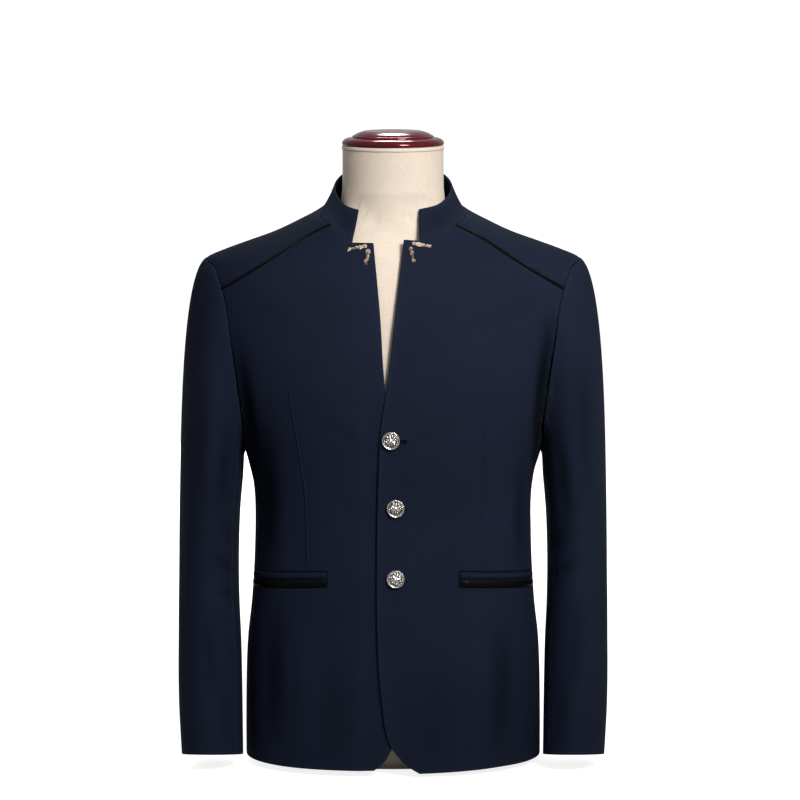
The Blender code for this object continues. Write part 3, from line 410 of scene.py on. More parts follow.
def spread(points, count):
    """Count + 1 points at equal steps along a smooth line through the points."""
    fine = []
    last = len(points) - 1
    for i in range(last):
        before, after = points[max(i - 1, 0)], points[min(i + 2, last)]
        for k in range(48):
            t = k / 48
            fine.append(tuple(
                0.5 * (2 * b + (c - a) * t + (2 * a - 5 * b + 4 * c - d) * t**2
                       + (3 * b - a - 3 * c + d) * t**3)
                for a, b, c, d in zip(before, points[i], points[i + 1], after)
            ))
    fine.append(tuple(points[-1]))
    lengths = [0.0]
    for one, two in zip(fine, fine[1:]):
        lengths.append(lengths[-1] + math.dist(one, two))
    found = []
    k = 0
    for i in range(count + 1):
        want = lengths[-1] * i / count
        while k < len(fine) - 2 and lengths[k + 1] < want:
            k += 1
        t = (want - lengths[k]) / max(lengths[k + 1] - lengths[k], 1e-12)
        found.append(tuple(a + (b - a) * t for a, b in zip(fine[k], fine[k + 1])))
    return found


def finer(values, steps):
    """The values with equal steps put in between them."""
    between = [a + (b - a) * k / steps for a, b in zip(values, values[1:]) for k in range(steps)]
    return between + [values[-1]]


def joined(*lines):
    """Lines end to end, with each shared point once."""
    result = list(lines[0])
    for line in lines[1:]:
        result += line[1:]
    return result


def patch(bottom, top, left, right):
    """Grid of (angle, height) points between the four lines of a panel's outline."""
    across, up = len(bottom) - 1, len(left) - 1
    rows = []
    for j in range(up + 1):
        low, high = 1 - j / up, j / up
        row = []
        for i in range(across + 1):
            u = i / across
            row.append(tuple(
                (1 - u) * left[j][k] + u * right[j][k]
                + low * (bottom[i][k] - (1 - u) * bottom[0][k] - u * bottom[-1][k])
                + high * (top[i][k] - (1 - u) * top[0][k] - u * top[-1][k])
                for k in range(2)
            ))
        rows.append(row)
    return rows


def unrolled(line, front):
    """(angle, height) points as if the body kept its widest section up to the shoulder.

    Columns between such points stay upright over the shoulder, so a panel never folds.
    """
    result = []
    for angle, z in line:
        widest = smooth_value(BODY, HALF_WIDTH, min(z, WIDEST_Z))
        share = min(abs(body_point(angle, z).x) / widest, 1.0)
        flat = math.asin(share ** (ROUNDNESS / 2))
        result.append((math.copysign(flat if front else math.pi - flat, angle), z))
    return result


def rolled(grid, front):
    """The unrolled grid back on the body."""
    rows = []
    for line in grid:
        row = []
        for flat, z in line:
            widest = smooth_value(BODY, HALF_WIDTH, min(z, WIDEST_Z))
            x = widest * abs(math.sin(flat)) ** (2.0 / ROUNDNESS)
            row.append((angle_at(math.copysign(x, flat), z, front), z))
        rows.append(row)
    return rows


def upright_patch(bottom, top, left, right, front):
    """A patch whose columns stay upright over the shoulder."""
    lines = [unrolled(line, front) for line in (bottom, top, left, right)]
    return rolled(patch(*lines), front)


def places(line, side, front=True):
    """(x, height) points of the left-hand half as (angle, height) on one side."""
    return [(angle_at(side * x, z, front), z) for x, z in line]


def swapped(table):
    """(x, height) points from a table of (height, x)."""
    return [(x, z) for z, x in table]


def side_angle(side, back, z):
    """Angle of the side seams at a height."""
    if not back:
        return side * math.radians(FRONT_SEAM_ANGLE)
    share = (z - HEM_Z) / (SIDE_SEAM_TOP_Z - HEM_Z)
    degrees = BACK_SEAM_HEM_ANGLE + (BACK_SEAM_TOP_ANGLE - BACK_SEAM_HEM_ANGLE) * share
    return side * math.radians(degrees)


def lines_of(side):
    """The seam lines that neighbouring panels share, on one side of the body."""
    steps = sizes().fineness
    ridge = side * math.pi / 2
    front_foot = (side_angle(side, False, SIDE_SEAM_TOP_Z), SIDE_SEAM_TOP_Z)
    back_foot = (side_angle(side, True, SIDE_SEAM_TOP_Z), SIDE_SEAM_TOP_Z)
    tip = (ridge, SHOULDER_TIP_Z)
    neck = NECK_SEAM_LEFT if side > 0 else NECK_SEAM_RIGHT
    piping_start = places(PIPED_SEAM[:1], side)[0]
    rows = finer(BODY_ROWS, steps)
    rise = SHOULDER_TIP_Z - NECK_SIDE_Z
    yoke_turn = (side * math.radians(YOKE_NECK_ANGLE), YOKE_NECK_Z)
    back_turn = (side * math.radians(BACK_NECK_ANGLE), BACK_NECK_TURN_Z)
    underarm = (side * math.radians(UNDERARM_ANGLE), ARMPIT_Z)
    yoke_neck = [piping_start, yoke_turn, (ridge, NECK_SIDE_Z)]
    back_neck = [(ridge, NECK_SIDE_Z), back_turn, (side * math.pi, BACK_NECK_Z)]
    arm_back = [back_foot] + places(swapped(ARM_BACK), side, False) + [tip]
    return {
        "side_front": [(side_angle(side, False, z), z) for z in rows],
        "side_back": [(side_angle(side, True, z), z) for z in rows],
        "arm_front": spread([front_foot] + places(swapped(ARM_FRONT), side), 7 * steps),
        "arm_yoke": spread(places(swapped(ARM_YOKE), side) + [tip], 4 * steps),
        "arm_back": spread(arm_back, 9 * steps),
        "arm_under": spread([front_foot, underarm, back_foot], 4 * steps),
        "piping": places(spread(PIPED_SEAM, 8 * steps), side),
        "ridge": [(ridge, NECK_SIDE_Z + rise * i / (8 * steps)) for i in range(8 * steps + 1)],
        "neck_front": spread(places(neck, side), 3 * steps),
        "neck_yoke": spread(yoke_neck, 4 * steps),
        "neck_back": spread(back_neck, 4 * steps),
    }


def lap_depth(angle, z):
    """How far the right front steps back where the left front covers it."""
    x = body_point(angle, z).x
    near = clamped((x - LAP_SIDE_X) / LAP_SIDE_FADE)
    low = clamped((LAP_TOP_Z - z) / LAP_TOP_FADE)
    return LAP_DEPTH * near * near * (3 - 2 * near) * low * low * (3 - 2 * low)


# Cloth walls from grids of points
def edges_closer(grid, edges):
    """The grid with close rows and columns put in beside the named edges, for rolled edges."""
    for edge in edges:
        if edge in ("left", "right"):
            grid = np.swapaxes(edges_closer(np.swapaxes(grid, 0, 1), [
                "bottom" if edge == "left" else "top"]), 0, 1)
            continue
        if edge == "top":
            grid = grid[::-1]
        step = grid[1] - grid[0]
        length = np.linalg.norm(step, axis=1, keepdims=True)
        near = [grid[0] + step * np.minimum(d / length, 0.28 * (k + 1))
                for k, d in enumerate(EDGE_STEPS)]
        grid = np.concatenate([grid[:1], np.array(near), grid[1:]])
        if edge == "top":
            grid = grid[::-1]
    return grid


def run_lengths(grid):
    """Length along the rows and up the columns to each point."""
    across = np.linalg.norm(np.diff(grid, axis=1), axis=2)
    up = np.linalg.norm(np.diff(grid, axis=0), axis=2)
    u = np.concatenate([np.zeros((len(grid), 1)), np.cumsum(across, axis=1)], axis=1)
    v = np.concatenate([np.zeros((1, grid.shape[1])), np.cumsum(up, axis=0)], axis=0)
    return u, v


def edge_distances(grid):
    """Distance of each point from the four edges."""
    u, v = run_lengths(grid)
    return {"left": u, "right": u[:, -1:] - u, "bottom": v, "top": v[-1:] - v}


def grid_normals(grid, outward):
    """Unit normals of a grid, on the side that outward points to at its middle."""
    normals = np.cross(np.gradient(grid, axis=1), np.gradient(grid, axis=0))
    normals /= np.maximum(np.linalg.norm(normals, axis=2, keepdims=True), 1e-12)
    middle = normals[len(grid) // 2, grid.shape[1] // 2]
    return normals if np.dot(middle, np.array(outward)) > 0 else -normals


def pressed(points, creases):
    """Lift of each point from soft creases: (path, half width, height)."""
    lift = np.zeros(points.shape[:-1])
    for path, width, height in creases:
        path = np.array(path)
        away = np.linalg.norm(points[..., None, :] - path, axis=-1)
        weight = np.exp(-((away / width) ** 2))
        along = np.sin(np.linspace(0.0, math.pi, len(path))) ** 0.8
        lift += height * (weight * along).max(axis=-1)
    return lift * sizes().crease


def body_creases(front):
    """Paths of the body's creases on one face of the body."""
    found = []
    for x0, z0, x1, z1, bow, width, height in FRONT_CREASES if front else BACK_CREASES:
        path = []
        for k in range(25):
            t = k / 24
            x = x0 + (x1 - x0) * t + bow * math.sin(math.pi * t)
            z = z0 + (z1 - z0) * t
            path.append(body_point(angle_at(x, z, front), z))
        found.append((path, width, height))
    return found


def store_uv(mesh, coordinates):
    """Keeps a pair of coordinates on the flat cut for each point."""
    layer = mesh.uv_layers.new(name="cut")
    corners = np.zeros(len(mesh.loops), dtype=np.int32)
    mesh.loops.foreach_get("vertex_index", corners)
    layer.data.foreach_set("uv", coordinates[corners].astype(np.float32).ravel())


def store_value(mesh, name, values):
    """Keeps a value for each point."""
    layer = mesh.attributes.new(name=name, type="FLOAT", domain="POINT")
    layer.data.foreach_set("value", np.asarray(values, dtype=np.float32).ravel())


def made_object(name, points, faces, finish, uv=None, **values):
    """A mesh object at the origin, with its finish on it."""
    mesh = bpy.data.meshes.new(name)
    mesh.from_pydata([tuple(p) for p in points], [], faces)
    if uv is not None:
        store_uv(mesh, np.asarray(uv))
    for label, column in values.items():
        store_value(mesh, label, column)
    mesh.materials.append(finish)
    mesh.shade_smooth()
    made = bpy.data.objects.new(name, mesh)
    bpy.context.scene.collection.objects.link(made)
    return made


def grid_faces(rows, columns, start=0, flip=False):
    """Four-sided faces over a grid of points."""
    faces = []
    for j in range(rows - 1):
        for i in range(columns - 1):
            a = start + j * columns + i
            quad = (a, a + 1, a + columns + 1, a + columns)
            faces.append(quad[::-1] if flip else quad)
    return faces


def rim_faces(rows, columns, inside, flip):
    """Faces that close a wall between its outer and inner grids."""
    rim = list(range(columns))
    rim += [j * columns + columns - 1 for j in range(1, rows)]
    rim += [(rows - 1) * columns + i for i in range(columns - 2, -1, -1)]
    rim += [j * columns for j in range(rows - 2, 0, -1)]
    faces = []
    for one, two in zip(rim, rim[1:] + rim[:1]):
        quad = (two, one, inside + one, inside + two)
        faces.append(quad[::-1] if flip else quad)
    return faces


def cloth_wall(name, grid, outward, finish, thick, seams=(), free=(), lift=None):
    """A thin wall of cloth on a grid, rolled into its seams and round at its free edges."""
    grid = edges_closer(grid, (*seams, *free))
    normals = grid_normals(grid, outward)
    away = edge_distances(grid)
    into_seam = np.zeros(grid.shape[:2])
    rounding = np.zeros(grid.shape[:2])
    nearest = np.full(grid.shape[:2], 1.0)
    for edge in seams:
        share = 1 - np.minimum(away[edge] / SEAM_WIDTH, 1.0)
        into_seam = np.maximum(into_seam, sizes().seam_roll * share**2)
    for edge in free:
        share = 1 - np.minimum(away[edge] / (thick * 0.7), 1.0)
        rounding = np.maximum(rounding, 1 - np.sqrt(1 - share**2))
    for edge in (*seams, *free):
        nearest = np.minimum(nearest, away[edge])
    raised = lift(grid) if lift else np.zeros(grid.shape[:2])
    outer = grid + normals * (raised - into_seam - 0.44 * thick * rounding)[..., None]
    inner = grid + normals * (raised - into_seam - thick + 0.44 * thick * rounding)[..., None]
    rows, columns = grid.shape[:2]
    count = rows * columns
    clockwise = np.dot(np.cross(grid[rows // 2, columns // 2 + 1] - grid[rows // 2, columns // 2],
                                grid[rows // 2 + 1, columns // 2] - grid[rows // 2, columns // 2]),
                       np.array(outward)) < 0
    faces = grid_faces(rows, columns, 0, clockwise)
    faces += grid_faces(rows, columns, count, not clockwise)
    faces += rim_faces(rows, columns, count, clockwise)
    u, v = run_lengths(grid)
    u = u - u[:, columns // 2][:, None]
    uv = np.stack([u, v], axis=2).reshape(-1, 2)
    # edge: nearness to an edge, where the cloth finish paints a sheen with a little wear; hollow: painted
    # shade, darker the deeper a crease sinks
    edge_value = np.exp(-nearest / 0.004).ravel()
    painted_shade = np.clip(-raised / CREASE_SHADE_DEPTH, 0.0, 1.0).ravel()
    points = np.concatenate([outer.reshape(-1, 3), inner.reshape(-1, 3)])
    return made_object(name, points, faces, finish, np.concatenate([uv, uv]),
                       edge=np.concatenate([edge_value, edge_value]),
                       hollow=np.concatenate([painted_shade, painted_shade]))


def outer_area(made):
    """Area of one face of a cloth wall."""
    return sum(face.area for face in made.data.polygons) / 2


def hand_in(made, node):
    """The piece rides on the frame and stands for its solid, which is hidden."""
    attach(made, "root")
    if node:
        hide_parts(node)
    return made


CUT_SIZES = {}


def cut_from_cloth(made):
    """States the flat piece of cloth that a wall was cut from, without its seam allowance."""
    uv = np.zeros(len(made.data.loops) * 2, dtype=np.float32)
    made.data.uv_layers["cut"].data.foreach_get("uv", uv)
    low, high = uv.reshape(-1, 2).min(axis=0), uv.reshape(-1, 2).max(axis=0)
    flat = tuple(round(float(x), 3) for x in high - low)
    area = round(min(outer_area(made), 0.999 * flat[0] * flat[1]), 4)
    CUT_SIZES[made.name] = (*flat, area)


def word(side):
    """The wearer's left or right."""
    return "left" if side > 0 else "right"


def lapped(spots):
    """How far the lapping front edge stands up between the buttons and the hem."""
    away = edge_distances(spots)["left"]
    height = spots[..., 2]
    held = np.clip((LAP_HELD_TOP_Z - height) / LAP_HELD_TOP_FADE, 0, 1)
    held = held * np.clip((height - LAP_HELD_FOOT_Z) / LAP_HELD_FOOT_FADE, 0, 1)
    return LAP_LIFT * held * np.exp(-((away / LAP_LIFT_REACH) ** 2))


def panel(name, node, grid, seams, free, front, stepped=False, laps=False):
    """A body panel from its grid of angles and heights."""
    points = []
    for row in grid:
        line = []
        for angle, z in row:
            spot = body_point(angle, z)
            if stepped:
                spot = spot - body_normal(angle, z) * lap_depth(angle, z)
            line.append(spot)
        points.append(line)
    middle = grid[len(grid) // 2][len(grid[0]) // 2]
    creases = body_creases(True) + body_creases(False) if front is None else body_creases(front)
    made = cloth_wall(
        name, np.array(points), body_normal(*middle), finish_of("suit_cloth"), sizes().cloth,
        seams, free, lambda spots: pressed(spots, creases) + (lapped(spots) if laps else 0.0))
    return hand_in(made, node)


def front_panel(side, lines):
    """A front with its curved edge and short lapel corner."""
    edge = LEFT_EDGE if side > 0 else RIGHT_EDGE
    steps = sizes().fineness
    heights = [edge[0][0], *BODY_ROWS[1:], *UPPER_ROWS, edge[-1][0]]
    heights[1:5] = [edge[k][0] for k in (1, 2, 3, 4)]
    left = [(angle_at(smooth_value(edge, 1, z), z), z) for z in finer(heights, steps)]
    right = joined(lines["side_front"], lines["arm_front"])
    lapel_top = spread([left[-1], lines["neck_front"][0]], 2 * steps)
    top = joined(lapel_top, lines["neck_front"], lines["piping"])
    across = len(top) - 1
    hem = [left[0]]
    for i in range(1, across + 1):
        share = i / across
        z = left[0][1] + (HEM_Z - left[0][1]) * min(share * 2, 1.0)
        hem.append((left[0][0] + (right[0][0] - left[0][0]) * share, z))
    name = f"front_{word(side)}"
    return panel(f"{name}_cloth", name, upright_patch(hem, top, left, right, True),
                 ("right", "top"), ("left", "bottom"), True, side < 0, side > 0)


def level_hem(left, right, count):
    """The hem between the feet of two seams."""
    return [(left[0][0] + (right[0][0] - left[0][0]) * i / count, HEM_Z) for i in range(count + 1)]


def side_panel(side, lines):
    """The panel under an arm."""
    left, right = lines["side_front"], lines["side_back"]
    hem = level_hem(left, right, 4 * sizes().fineness)
    name = f"side_{word(side)}"
    return panel(f"{name}_cloth", name, patch(hem, lines["arm_under"], left, right),
                 ("left", "right", "top"), ("bottom",), None)


def back_panel(side, lines):
    """One half of the back, up to the shoulder and the neck."""
    left = joined(lines["side_back"], lines["arm_back"])
    top = joined(list(reversed(lines["ridge"])), lines["neck_back"])
    middle = side * math.pi
    rows = finer(BODY_ROWS, sizes().fineness)
    count = 9 * sizes().fineness
    upper = [(middle, SIDE_SEAM_TOP_Z + (BACK_NECK_Z - SIDE_SEAM_TOP_Z) * i / count)
             for i in range(count + 1)]
    right = joined([(middle, z) for z in rows], upper)
    hem = level_hem(left, right, len(top) - 1)
    name = f"back_{word(side)}"
    return panel(f"{name}_cloth", name, upright_patch(hem, top, left, right, False),
                 ("left", "right", "top"), ("bottom",), False)


def yoke_panel(side, lines):
    """The shoulder piece above the piped seam."""
    name = f"yoke_{word(side)}"
    grid = patch(lines["piping"], lines["ridge"], lines["neck_yoke"], lines["arm_yoke"])
    return panel(f"{name}_cloth", name, grid, ("left", "right", "top", "bottom"), (), True)


# Sleeves
def sleeve_ring(side, row, turns):
    """Points of one sleeve ring at the given turns, 0 outside and 90 degrees behind."""
    z, inner, outer, y, depth, slant = row
    middle, half = (inner + outer) / 2, (outer - inner) / 2
    ring = []
    for turn in turns:
        away = depth * math.sin(turn)
        ring.append(Vector((side * (middle + half * math.cos(turn)), y + away, z - slant * away)))
    return ring


def sleeve_rows(side, lines):
    """Rows of a whole sleeve from the armhole to the cuff, and the turn of each column."""
    steps = sizes().fineness
    armhole = joined(lines["arm_front"], lines["arm_yoke"], list(reversed(lines["arm_back"])))
    armhole += list(reversed(lines["arm_under"]))[1:-1]
    seats = [body_point(angle, z) for angle, z in armhole]
    centre_z = (SHOULDER_TIP_Z + ARMPIT_Z) / 2
    half_z = (SHOULDER_TIP_Z - ARMPIT_Z) / 2
    half_y = max(abs(p.y - CENTRE_Y) for p in seats)
    turns = [math.atan2((p.y - CENTRE_Y) / half_y, (p.z - centre_z) / half_z) for p in seats]
    first = sleeve_ring(side, SLEEVE[0], turns)
    second = sleeve_ring(side, SLEEVE[1], turns)
    rows = []
    for k in range(CAP_ROWS * steps):
        t = (k / (CAP_ROWS * steps)) ** CAP_CROWDING
        row = []
        for seat, low, lower, turn in zip(seats, first, second, turns):
            top = 0.5 + 0.5 * math.cos(turn)
            leave = Vector((side * (CAP_LEAVE_OUT + CAP_LEAVE_OUT_TOP * top), 0.0,
                            -CAP_LEAVE_DOWN - CAP_LEAVE_DOWN_TOP * top))
            arrive = (lower - low).normalized() * (CAP_ARRIVE + (seat.z - low.z))
            row.append(
                seat * (2 * t**3 - 3 * t**2 + 1) + leave * (t**3 - 2 * t**2 + t)
                + low * (3 * t**2 - 2 * t**3) + arrive * (t**3 - t**2)
            )
        rows.append(row)
    upwards = SLEEVE[::-1]
    for z in finer([row[0] for row in SLEEVE], steps):
        ring = (z, *(smooth_value(upwards, column, z) for column in range(1, 6)))
        rows.append(sleeve_ring(side, ring, turns))
    return np.array(rows), np.array(turns)


def sleeve_creases(side, rows, turns):
    """Paths of the sleeve's folds, laid on its rows."""
    found = []
    for turn0, z0, turn1, z1, width, height in SLEEVE_CREASES[side]:
        path = []
        for k in range(25):
            turn = math.radians(turn0 + (turn1 - turn0) * k / 24)
            z = z0 + (z1 - z0) * k / 24
            column = np.argmin(np.abs(np.angle(np.exp(1j * (turns - turn)))))
            path.append(rows[np.argmin(np.abs(rows[:, column, 2] - z)), column])
        found.append((path, width, height))
    return found


def sleeve(side, lines):
    """Top sleeve and under sleeve, from the armhole over the head to the cuff."""
    rows, turns = sleeve_rows(side, lines)
    creases = sleeve_creases(side, rows, turns)
    steps = sizes().fineness
    count = len(turns)
    front_seam, back_seam = SLEEVE_FRONT_SEAM * steps, SLEEVE_BACK_SEAM * steps
    spans = {
        "top_sleeve": list(range(front_seam, back_seam + 1)),
        "under_sleeve": list(range(back_seam, count + front_seam + 1)),
    }

    def lift(spots):
        raised = pressed(spots, creases)
        down = edge_distances(spots)["bottom"]
        across = run_lengths(spots)[0]
        pucker = CAP_PUCKER * np.sin(across / 0.0042 + 3 * np.sin(across / 0.021))
        return raised + pucker * np.exp(-((down - 0.006) / 0.008) ** 2)

    pieces = []
    for part, span in spans.items():
        grid = rows[:, [i % count for i in span]]
        middle = len(grid) // 2
        spot = grid[middle, grid.shape[1] // 2]
        outward = spot - rows[middle].mean(axis=0)
        name = f"{part}_{word(side)}"
        made = cloth_wall(f"{name}_cloth", grid, outward, finish_of("suit_cloth"), sizes().cloth,
                          ("left", "right", "bottom"), ("top",), lift)
        pieces.append(hand_in(made, name))
    return pieces


def collar_half(side, lines):
    """Foot and top lines of one half of the stand collar, from its end to the back."""
    foot = joined(lines["neck_front"], lines["neck_yoke"], lines["neck_back"])
    bottom = [body_point(angle, z) for angle, z in foot]
    top_line = COLLAR_TOP_LEFT if side > 0 else COLLAR_TOP_RIGHT
    top = [Vector((side * x, y, z)) for x, y, z in spread(top_line, len(foot) - 1)]
    return bottom, top


def stand_collar(all_lines):
    """The stand collar as one band, open at the front, hollowed a little."""
    left_bottom, left_top = collar_half(1, all_lines[1])
    right_bottom, right_top = collar_half(-1, all_lines[-1])
    bottom = np.array(left_bottom + list(reversed(right_bottom))[1:])
    top = np.array(left_top + list(reversed(right_top))[1:])
    rows = 4 * sizes().fineness
    grid = np.array([bottom + (top - bottom) * j / rows for j in range(rows + 1)])
    rise = (top - bottom) / np.linalg.norm(top - bottom, axis=1, keepdims=True)
    grid[0] += rise * 0.0004

    def hollow(spots):
        up = edge_distances(spots)
        share = up["bottom"] / np.maximum(up["bottom"] + up["top"], 1e-9)
        return -0.0010 * np.sin(math.pi * share)

    outward = Vector((0.0, 1.0, 0.15))
    made = cloth_wall("collar_cloth", grid, outward, finish_of("suit_cloth"),
                      sizes().collar_cloth, ("bottom",), ("left", "right", "top"), hollow)
    return hand_in(made, "collar")


# Trims that lie on the cloth
def surface_of(*pieces):
    """A surface to lay trims on, from the pieces' outer and inner faces."""
    points, faces = [], []
    for piece in pieces:
        start = len(points)
        points += [v.co.copy() for v in piece.data.vertices]
        faces += [tuple(start + k for k in face.vertices) for face in piece.data.polygons]
    return BVHTree.FromPolygons(points, faces)


def laid(surface, angle, z, rise):
    """A point over the cloth's own face, moved out by the rise."""
    normal = body_normal(angle, z)
    start = body_point(angle, z)
    hit = surface.ray_cast(start + normal * TRIM_START, -normal)
    if hit[0] is None or hit[3] > TRIM_REACH:
        return start + normal * rise
    return hit[0] + normal * rise


def bead(name, line, profile, width, surface, finish, value=None):
    """A strip with a raised profile along a line of (angle, height) points on the cloth."""
    spine = [body_point(angle, z) for angle, z in line]
    last = len(line) - 1
    points, uv, tones = [], [], []
    run = 0.0
    for i, (angle, z) in enumerate(line):
        along = (spine[min(i + 1, last)] - spine[max(i - 1, 0)]).normalized()
        if i:
            run += (spine[i] - spine[i - 1]).length
        normal = body_normal(angle, z)
        across = normal.cross(along).normalized() * width
        start = spine[i]
        ends = []
        for share in (-0.5, 0.5):
            flat = start + across * share
            hit = surface.ray_cast(flat + normal * TRIM_START, -normal)
            ends.append(hit[0] if hit[0] is not None and hit[3] < TRIM_REACH else flat)
        for wide, rise in profile:
            base = ends[0].lerp(ends[1], wide + 0.5)
            gather = value(i / last, wide) if value else 1.0
            points.append(base + normal * (rise * gather))
            uv.append((wide * width, run))
            # Nearness to the strip's sides, where the finish paints a sheen: warm glints on satin, a sheen
            # with a little wear on cloth
            tones.append(abs(wide) * 2)
    size = len(profile)
    faces = []
    for i in range(last):
        for k in range(size):
            a, b = i * size + k, i * size + (k + 1) % size
            faces.append((a, b, b + size, a + size))
    faces.append(tuple(reversed(range(size))))
    faces.append(tuple(last * size + k for k in range(size)))
    made = made_object(name, points, faces, finish, uv, edge=tones)
    outward_faces(made)
    return made


def outward_faces(made):
    """Turns a closed mesh the right way out by its volume."""
    mesh = made.data
    volume = 0.0
    for face in mesh.polygons:
        first = mesh.vertices[face.vertices[0]].co
        for k in range(1, len(face.vertices) - 1):
            second = mesh.vertices[face.vertices[k]].co
            third = mesh.vertices[face.vertices[k + 1]].co
            volume += first.dot(second.cross(third))
    if volume < 0:
        mesh.flip_normals()


def satin_piping(side, lines, surface):
    """A folded satin bead along the slanted seam, with small gathers from its stitches."""
    count = 150
    line = spread(lines["piping"], count)[1:-1]
    profile = [(-0.50, 0.0006), (-0.46, 0.0012), (-0.34, 0.0021), (-0.15, 0.0028), (0.05, 0.0030),
               (0.22, 0.0027), (0.36, 0.0020), (0.46, 0.0012), (0.50, 0.0006), (0.0, 0.0004)]

    def gather(share, wide):
        ripple = math.sin(share * 190 + 4 * math.sin(share * 23))
        return 1.0 + 0.045 * ripple * (1 - abs(wide))

    name = f"piping_{word(side)}"
    made = bead(f"{name}_satin", line, profile, PIPING_WIDTH, surface, finish_of("satin"), gather)
    return hand_in(made, name)


def dart_ridge(side, surface):
    """The pressed edge of a front dart, a low ridge that fades at both ends."""
    line = spread(places([(x * side, z) for x, z in DARTS[side]], side), 90)
    profile = [(-0.5, 0.00002), (-0.25, 0.00008), (-0.06, 0.00024), (0.04, 0.00027),
               (0.12, 0.00004), (0.5, 0.00002), (0.0, -0.0003)]
    if side < 0:
        profile = [(-wide, rise * 0.6) for wide, rise in profile]

    def fade(share, wide):
        return min(share * 9, 1.0) * min((1 - share) * 12, 1.0)

    made = bead(f"dart_{word(side)}", line, profile, 0.0034, surface, finish_of("suit_cloth"), fade)
    return hand_in(made, None)


def jet(name, node, side, drop, finish_name, surface, gathered):
    """One jet of a pocket: a folded strip, fuller in the middle, lying on the front."""
    steps, rows = 90, 12
    front_angle = angle_at(POCKET_FRONT_X, POCKET_TOP_FRONT_Z)
    outer, inner, uv, tones = [], [], [], []
    for j in range(rows + 1):
        v = j / rows
        crown = math.sin(math.pi * v) ** 0.55 if 0 < v < 1 else 0.0
        for i in range(steps + 1):
            share = i / steps
            angle = front_angle + (math.radians(POCKET_SIDE_ANGLE) - front_angle) * share
            z = POCKET_TOP_FRONT_Z + (POCKET_TOP_SIDE_Z - POCKET_TOP_FRONT_Z) * share
            pucker = 0.0
            if gathered:
                pucker = JET_PUCKER * math.sin(share * 61 + 3 * math.sin(share * 17) + 2 * v)
            end = min(share / 0.015, (1 - share) / 0.015, 1.0)
            z -= drop + JET_HEIGHT * v
            rise = JET_FOOT + (JET_RISE + pucker) * crown * math.sqrt(max(end, 0.0))
            outer.append(laid(surface, side * angle, z, rise))
            inner.append(laid(surface, side * angle, z, SEAM))
            uv.append((share * 0.1, v * JET_HEIGHT))
            # Nearness to the jet's borders: painted shade there on the cloth jet, painted warm glints on
            # the satin jet
            tones.append(1 - crown)
    columns, count = steps + 1, len(outer)
    faces = grid_faces(rows + 1, columns) + grid_faces(rows + 1, columns, count, True)
    faces += rim_faces(rows + 1, columns, count, False)
    border_glint = tones if gathered else [0.0] * count
    made = made_object(name, outer + inner, faces, finish_of(finish_name), uv + uv,
                       edge=border_glint + border_glint, hollow=tones + tones)
    outward_faces(made)
    return hand_in(made, node)


def button_height(radius, turn):
    """Relief of the button's face at a share of its radius: rim, beads, flower and boss."""
    rope = 0.5 + 0.5 * math.cos(36 * turn + 14 * radius)
    rim = math.exp(-(((radius - 0.91) / 0.060) ** 2)) * (0.92 + 0.16 * rope)
    beads = math.exp(-(((radius - 0.735) / 0.035) ** 2)) * max(math.cos(30 * turn), 0.0) * 0.42
    reach = 0.60 * (0.66 + 0.34 * math.cos(6 * turn))
    petal = max(1 - (radius / max(reach, 0.05)) ** 2, 0.0) ** 0.5
    vein = 1 - 0.30 * math.exp(-((math.sin(3 * turn) / 0.10) ** 2)) * (radius > 0.16)
    leaf = math.exp(-(((radius - 0.52) / 0.085) ** 2)) * max(-math.cos(6 * turn), 0.0) ** 3 * 0.45
    boss = math.exp(-((radius / 0.15) ** 4)) * 0.42
    return rim + beads + petal * vein * 0.72 + leaf + boss


def metal_button(number, x, z, surface):
    """A pressed metal button with a rope rim and a six-petalled flower, on a shank."""
    angle = angle_at(x, z)
    normal = body_normal(angle, z)
    foot = laid(surface, angle, z, 0.0002)
    right = normal.cross(Vector((0, 0, 1))).normalized()
    up = normal.cross(right)
    size = sizes().button_radius
    back = [(0.26, 0.0), (0.24, 0.0010), (0.80, 0.0012), (0.94, 0.0018), (0.99, 0.0028),
            (1.00, BUTTON_FACE)]
    face = [1 - 0.985 * k / 38 for k in range(1, 39)]
    sides = 144
    points, faces, hollows = [foot.copy()], [], [1.0]
    for radius, height in back + [(r, None) for r in face]:
        for k in range(sides):
            turn = 2 * math.pi * k / sides
            raised = button_height(radius, turn + 0.3 * number) if height is None else 0.0
            dome = BUTTON_DOME * (1 - radius**2) if height is None else 0.0
            level = height if height is not None else BUTTON_FACE + dome + BUTTON_RELIEF * raised
            if height is None and radius > 0.97:
                level = BUTTON_FACE + BUTTON_RELIEF * raised * (1 - (radius - 0.97) / 0.03)
            spot = right * math.cos(turn) + up * math.sin(turn)
            points.append(foot + spot * (radius * size) + normal * level)
            hollows.append(clamped(1.0 - raised * 2.2) if height is None else 0.1)
    centre = BUTTON_FACE + BUTTON_DOME + BUTTON_RELIEF * button_height(0.0, 0.0)
    points.append(foot + normal * centre)
    hollows.append(0.0)
    rings = len(back) + len(face)
    for k in range(sides):
        after = (k + 1) % sides
        faces.append((0, 1 + after, 1 + k))
        for r in range(rings - 1):
            low, high = 1 + r * sides, 1 + (r + 1) * sides
            faces.append((low + k, low + after, high + after, high + k))
        last = 1 + (rings - 1) * sides
        faces.append((last + k, last + after, len(points) - 1))
    made = made_object(f"button_{number}_metal", points, faces, finish_of("button_metal"),
                       hollow=hollows)
    outward_faces(made)
    return hand_in(made, f"button_{number}")


# Trees of nodes that lay stitches and leaves along a path
def add(tree, kind, links=None, **settings):
    """A node with its settings, and its inputs set or linked."""
    node = tree.nodes.new(kind)
    for key, value in settings.items():
        setattr(node, key, value)
    for key, value in (links or {}).items():
        if isinstance(value, bpy.types.NodeSocket):
            tree.links.new(value, node.inputs[key])
        else:
            node.inputs[key].default_value = value
    return node


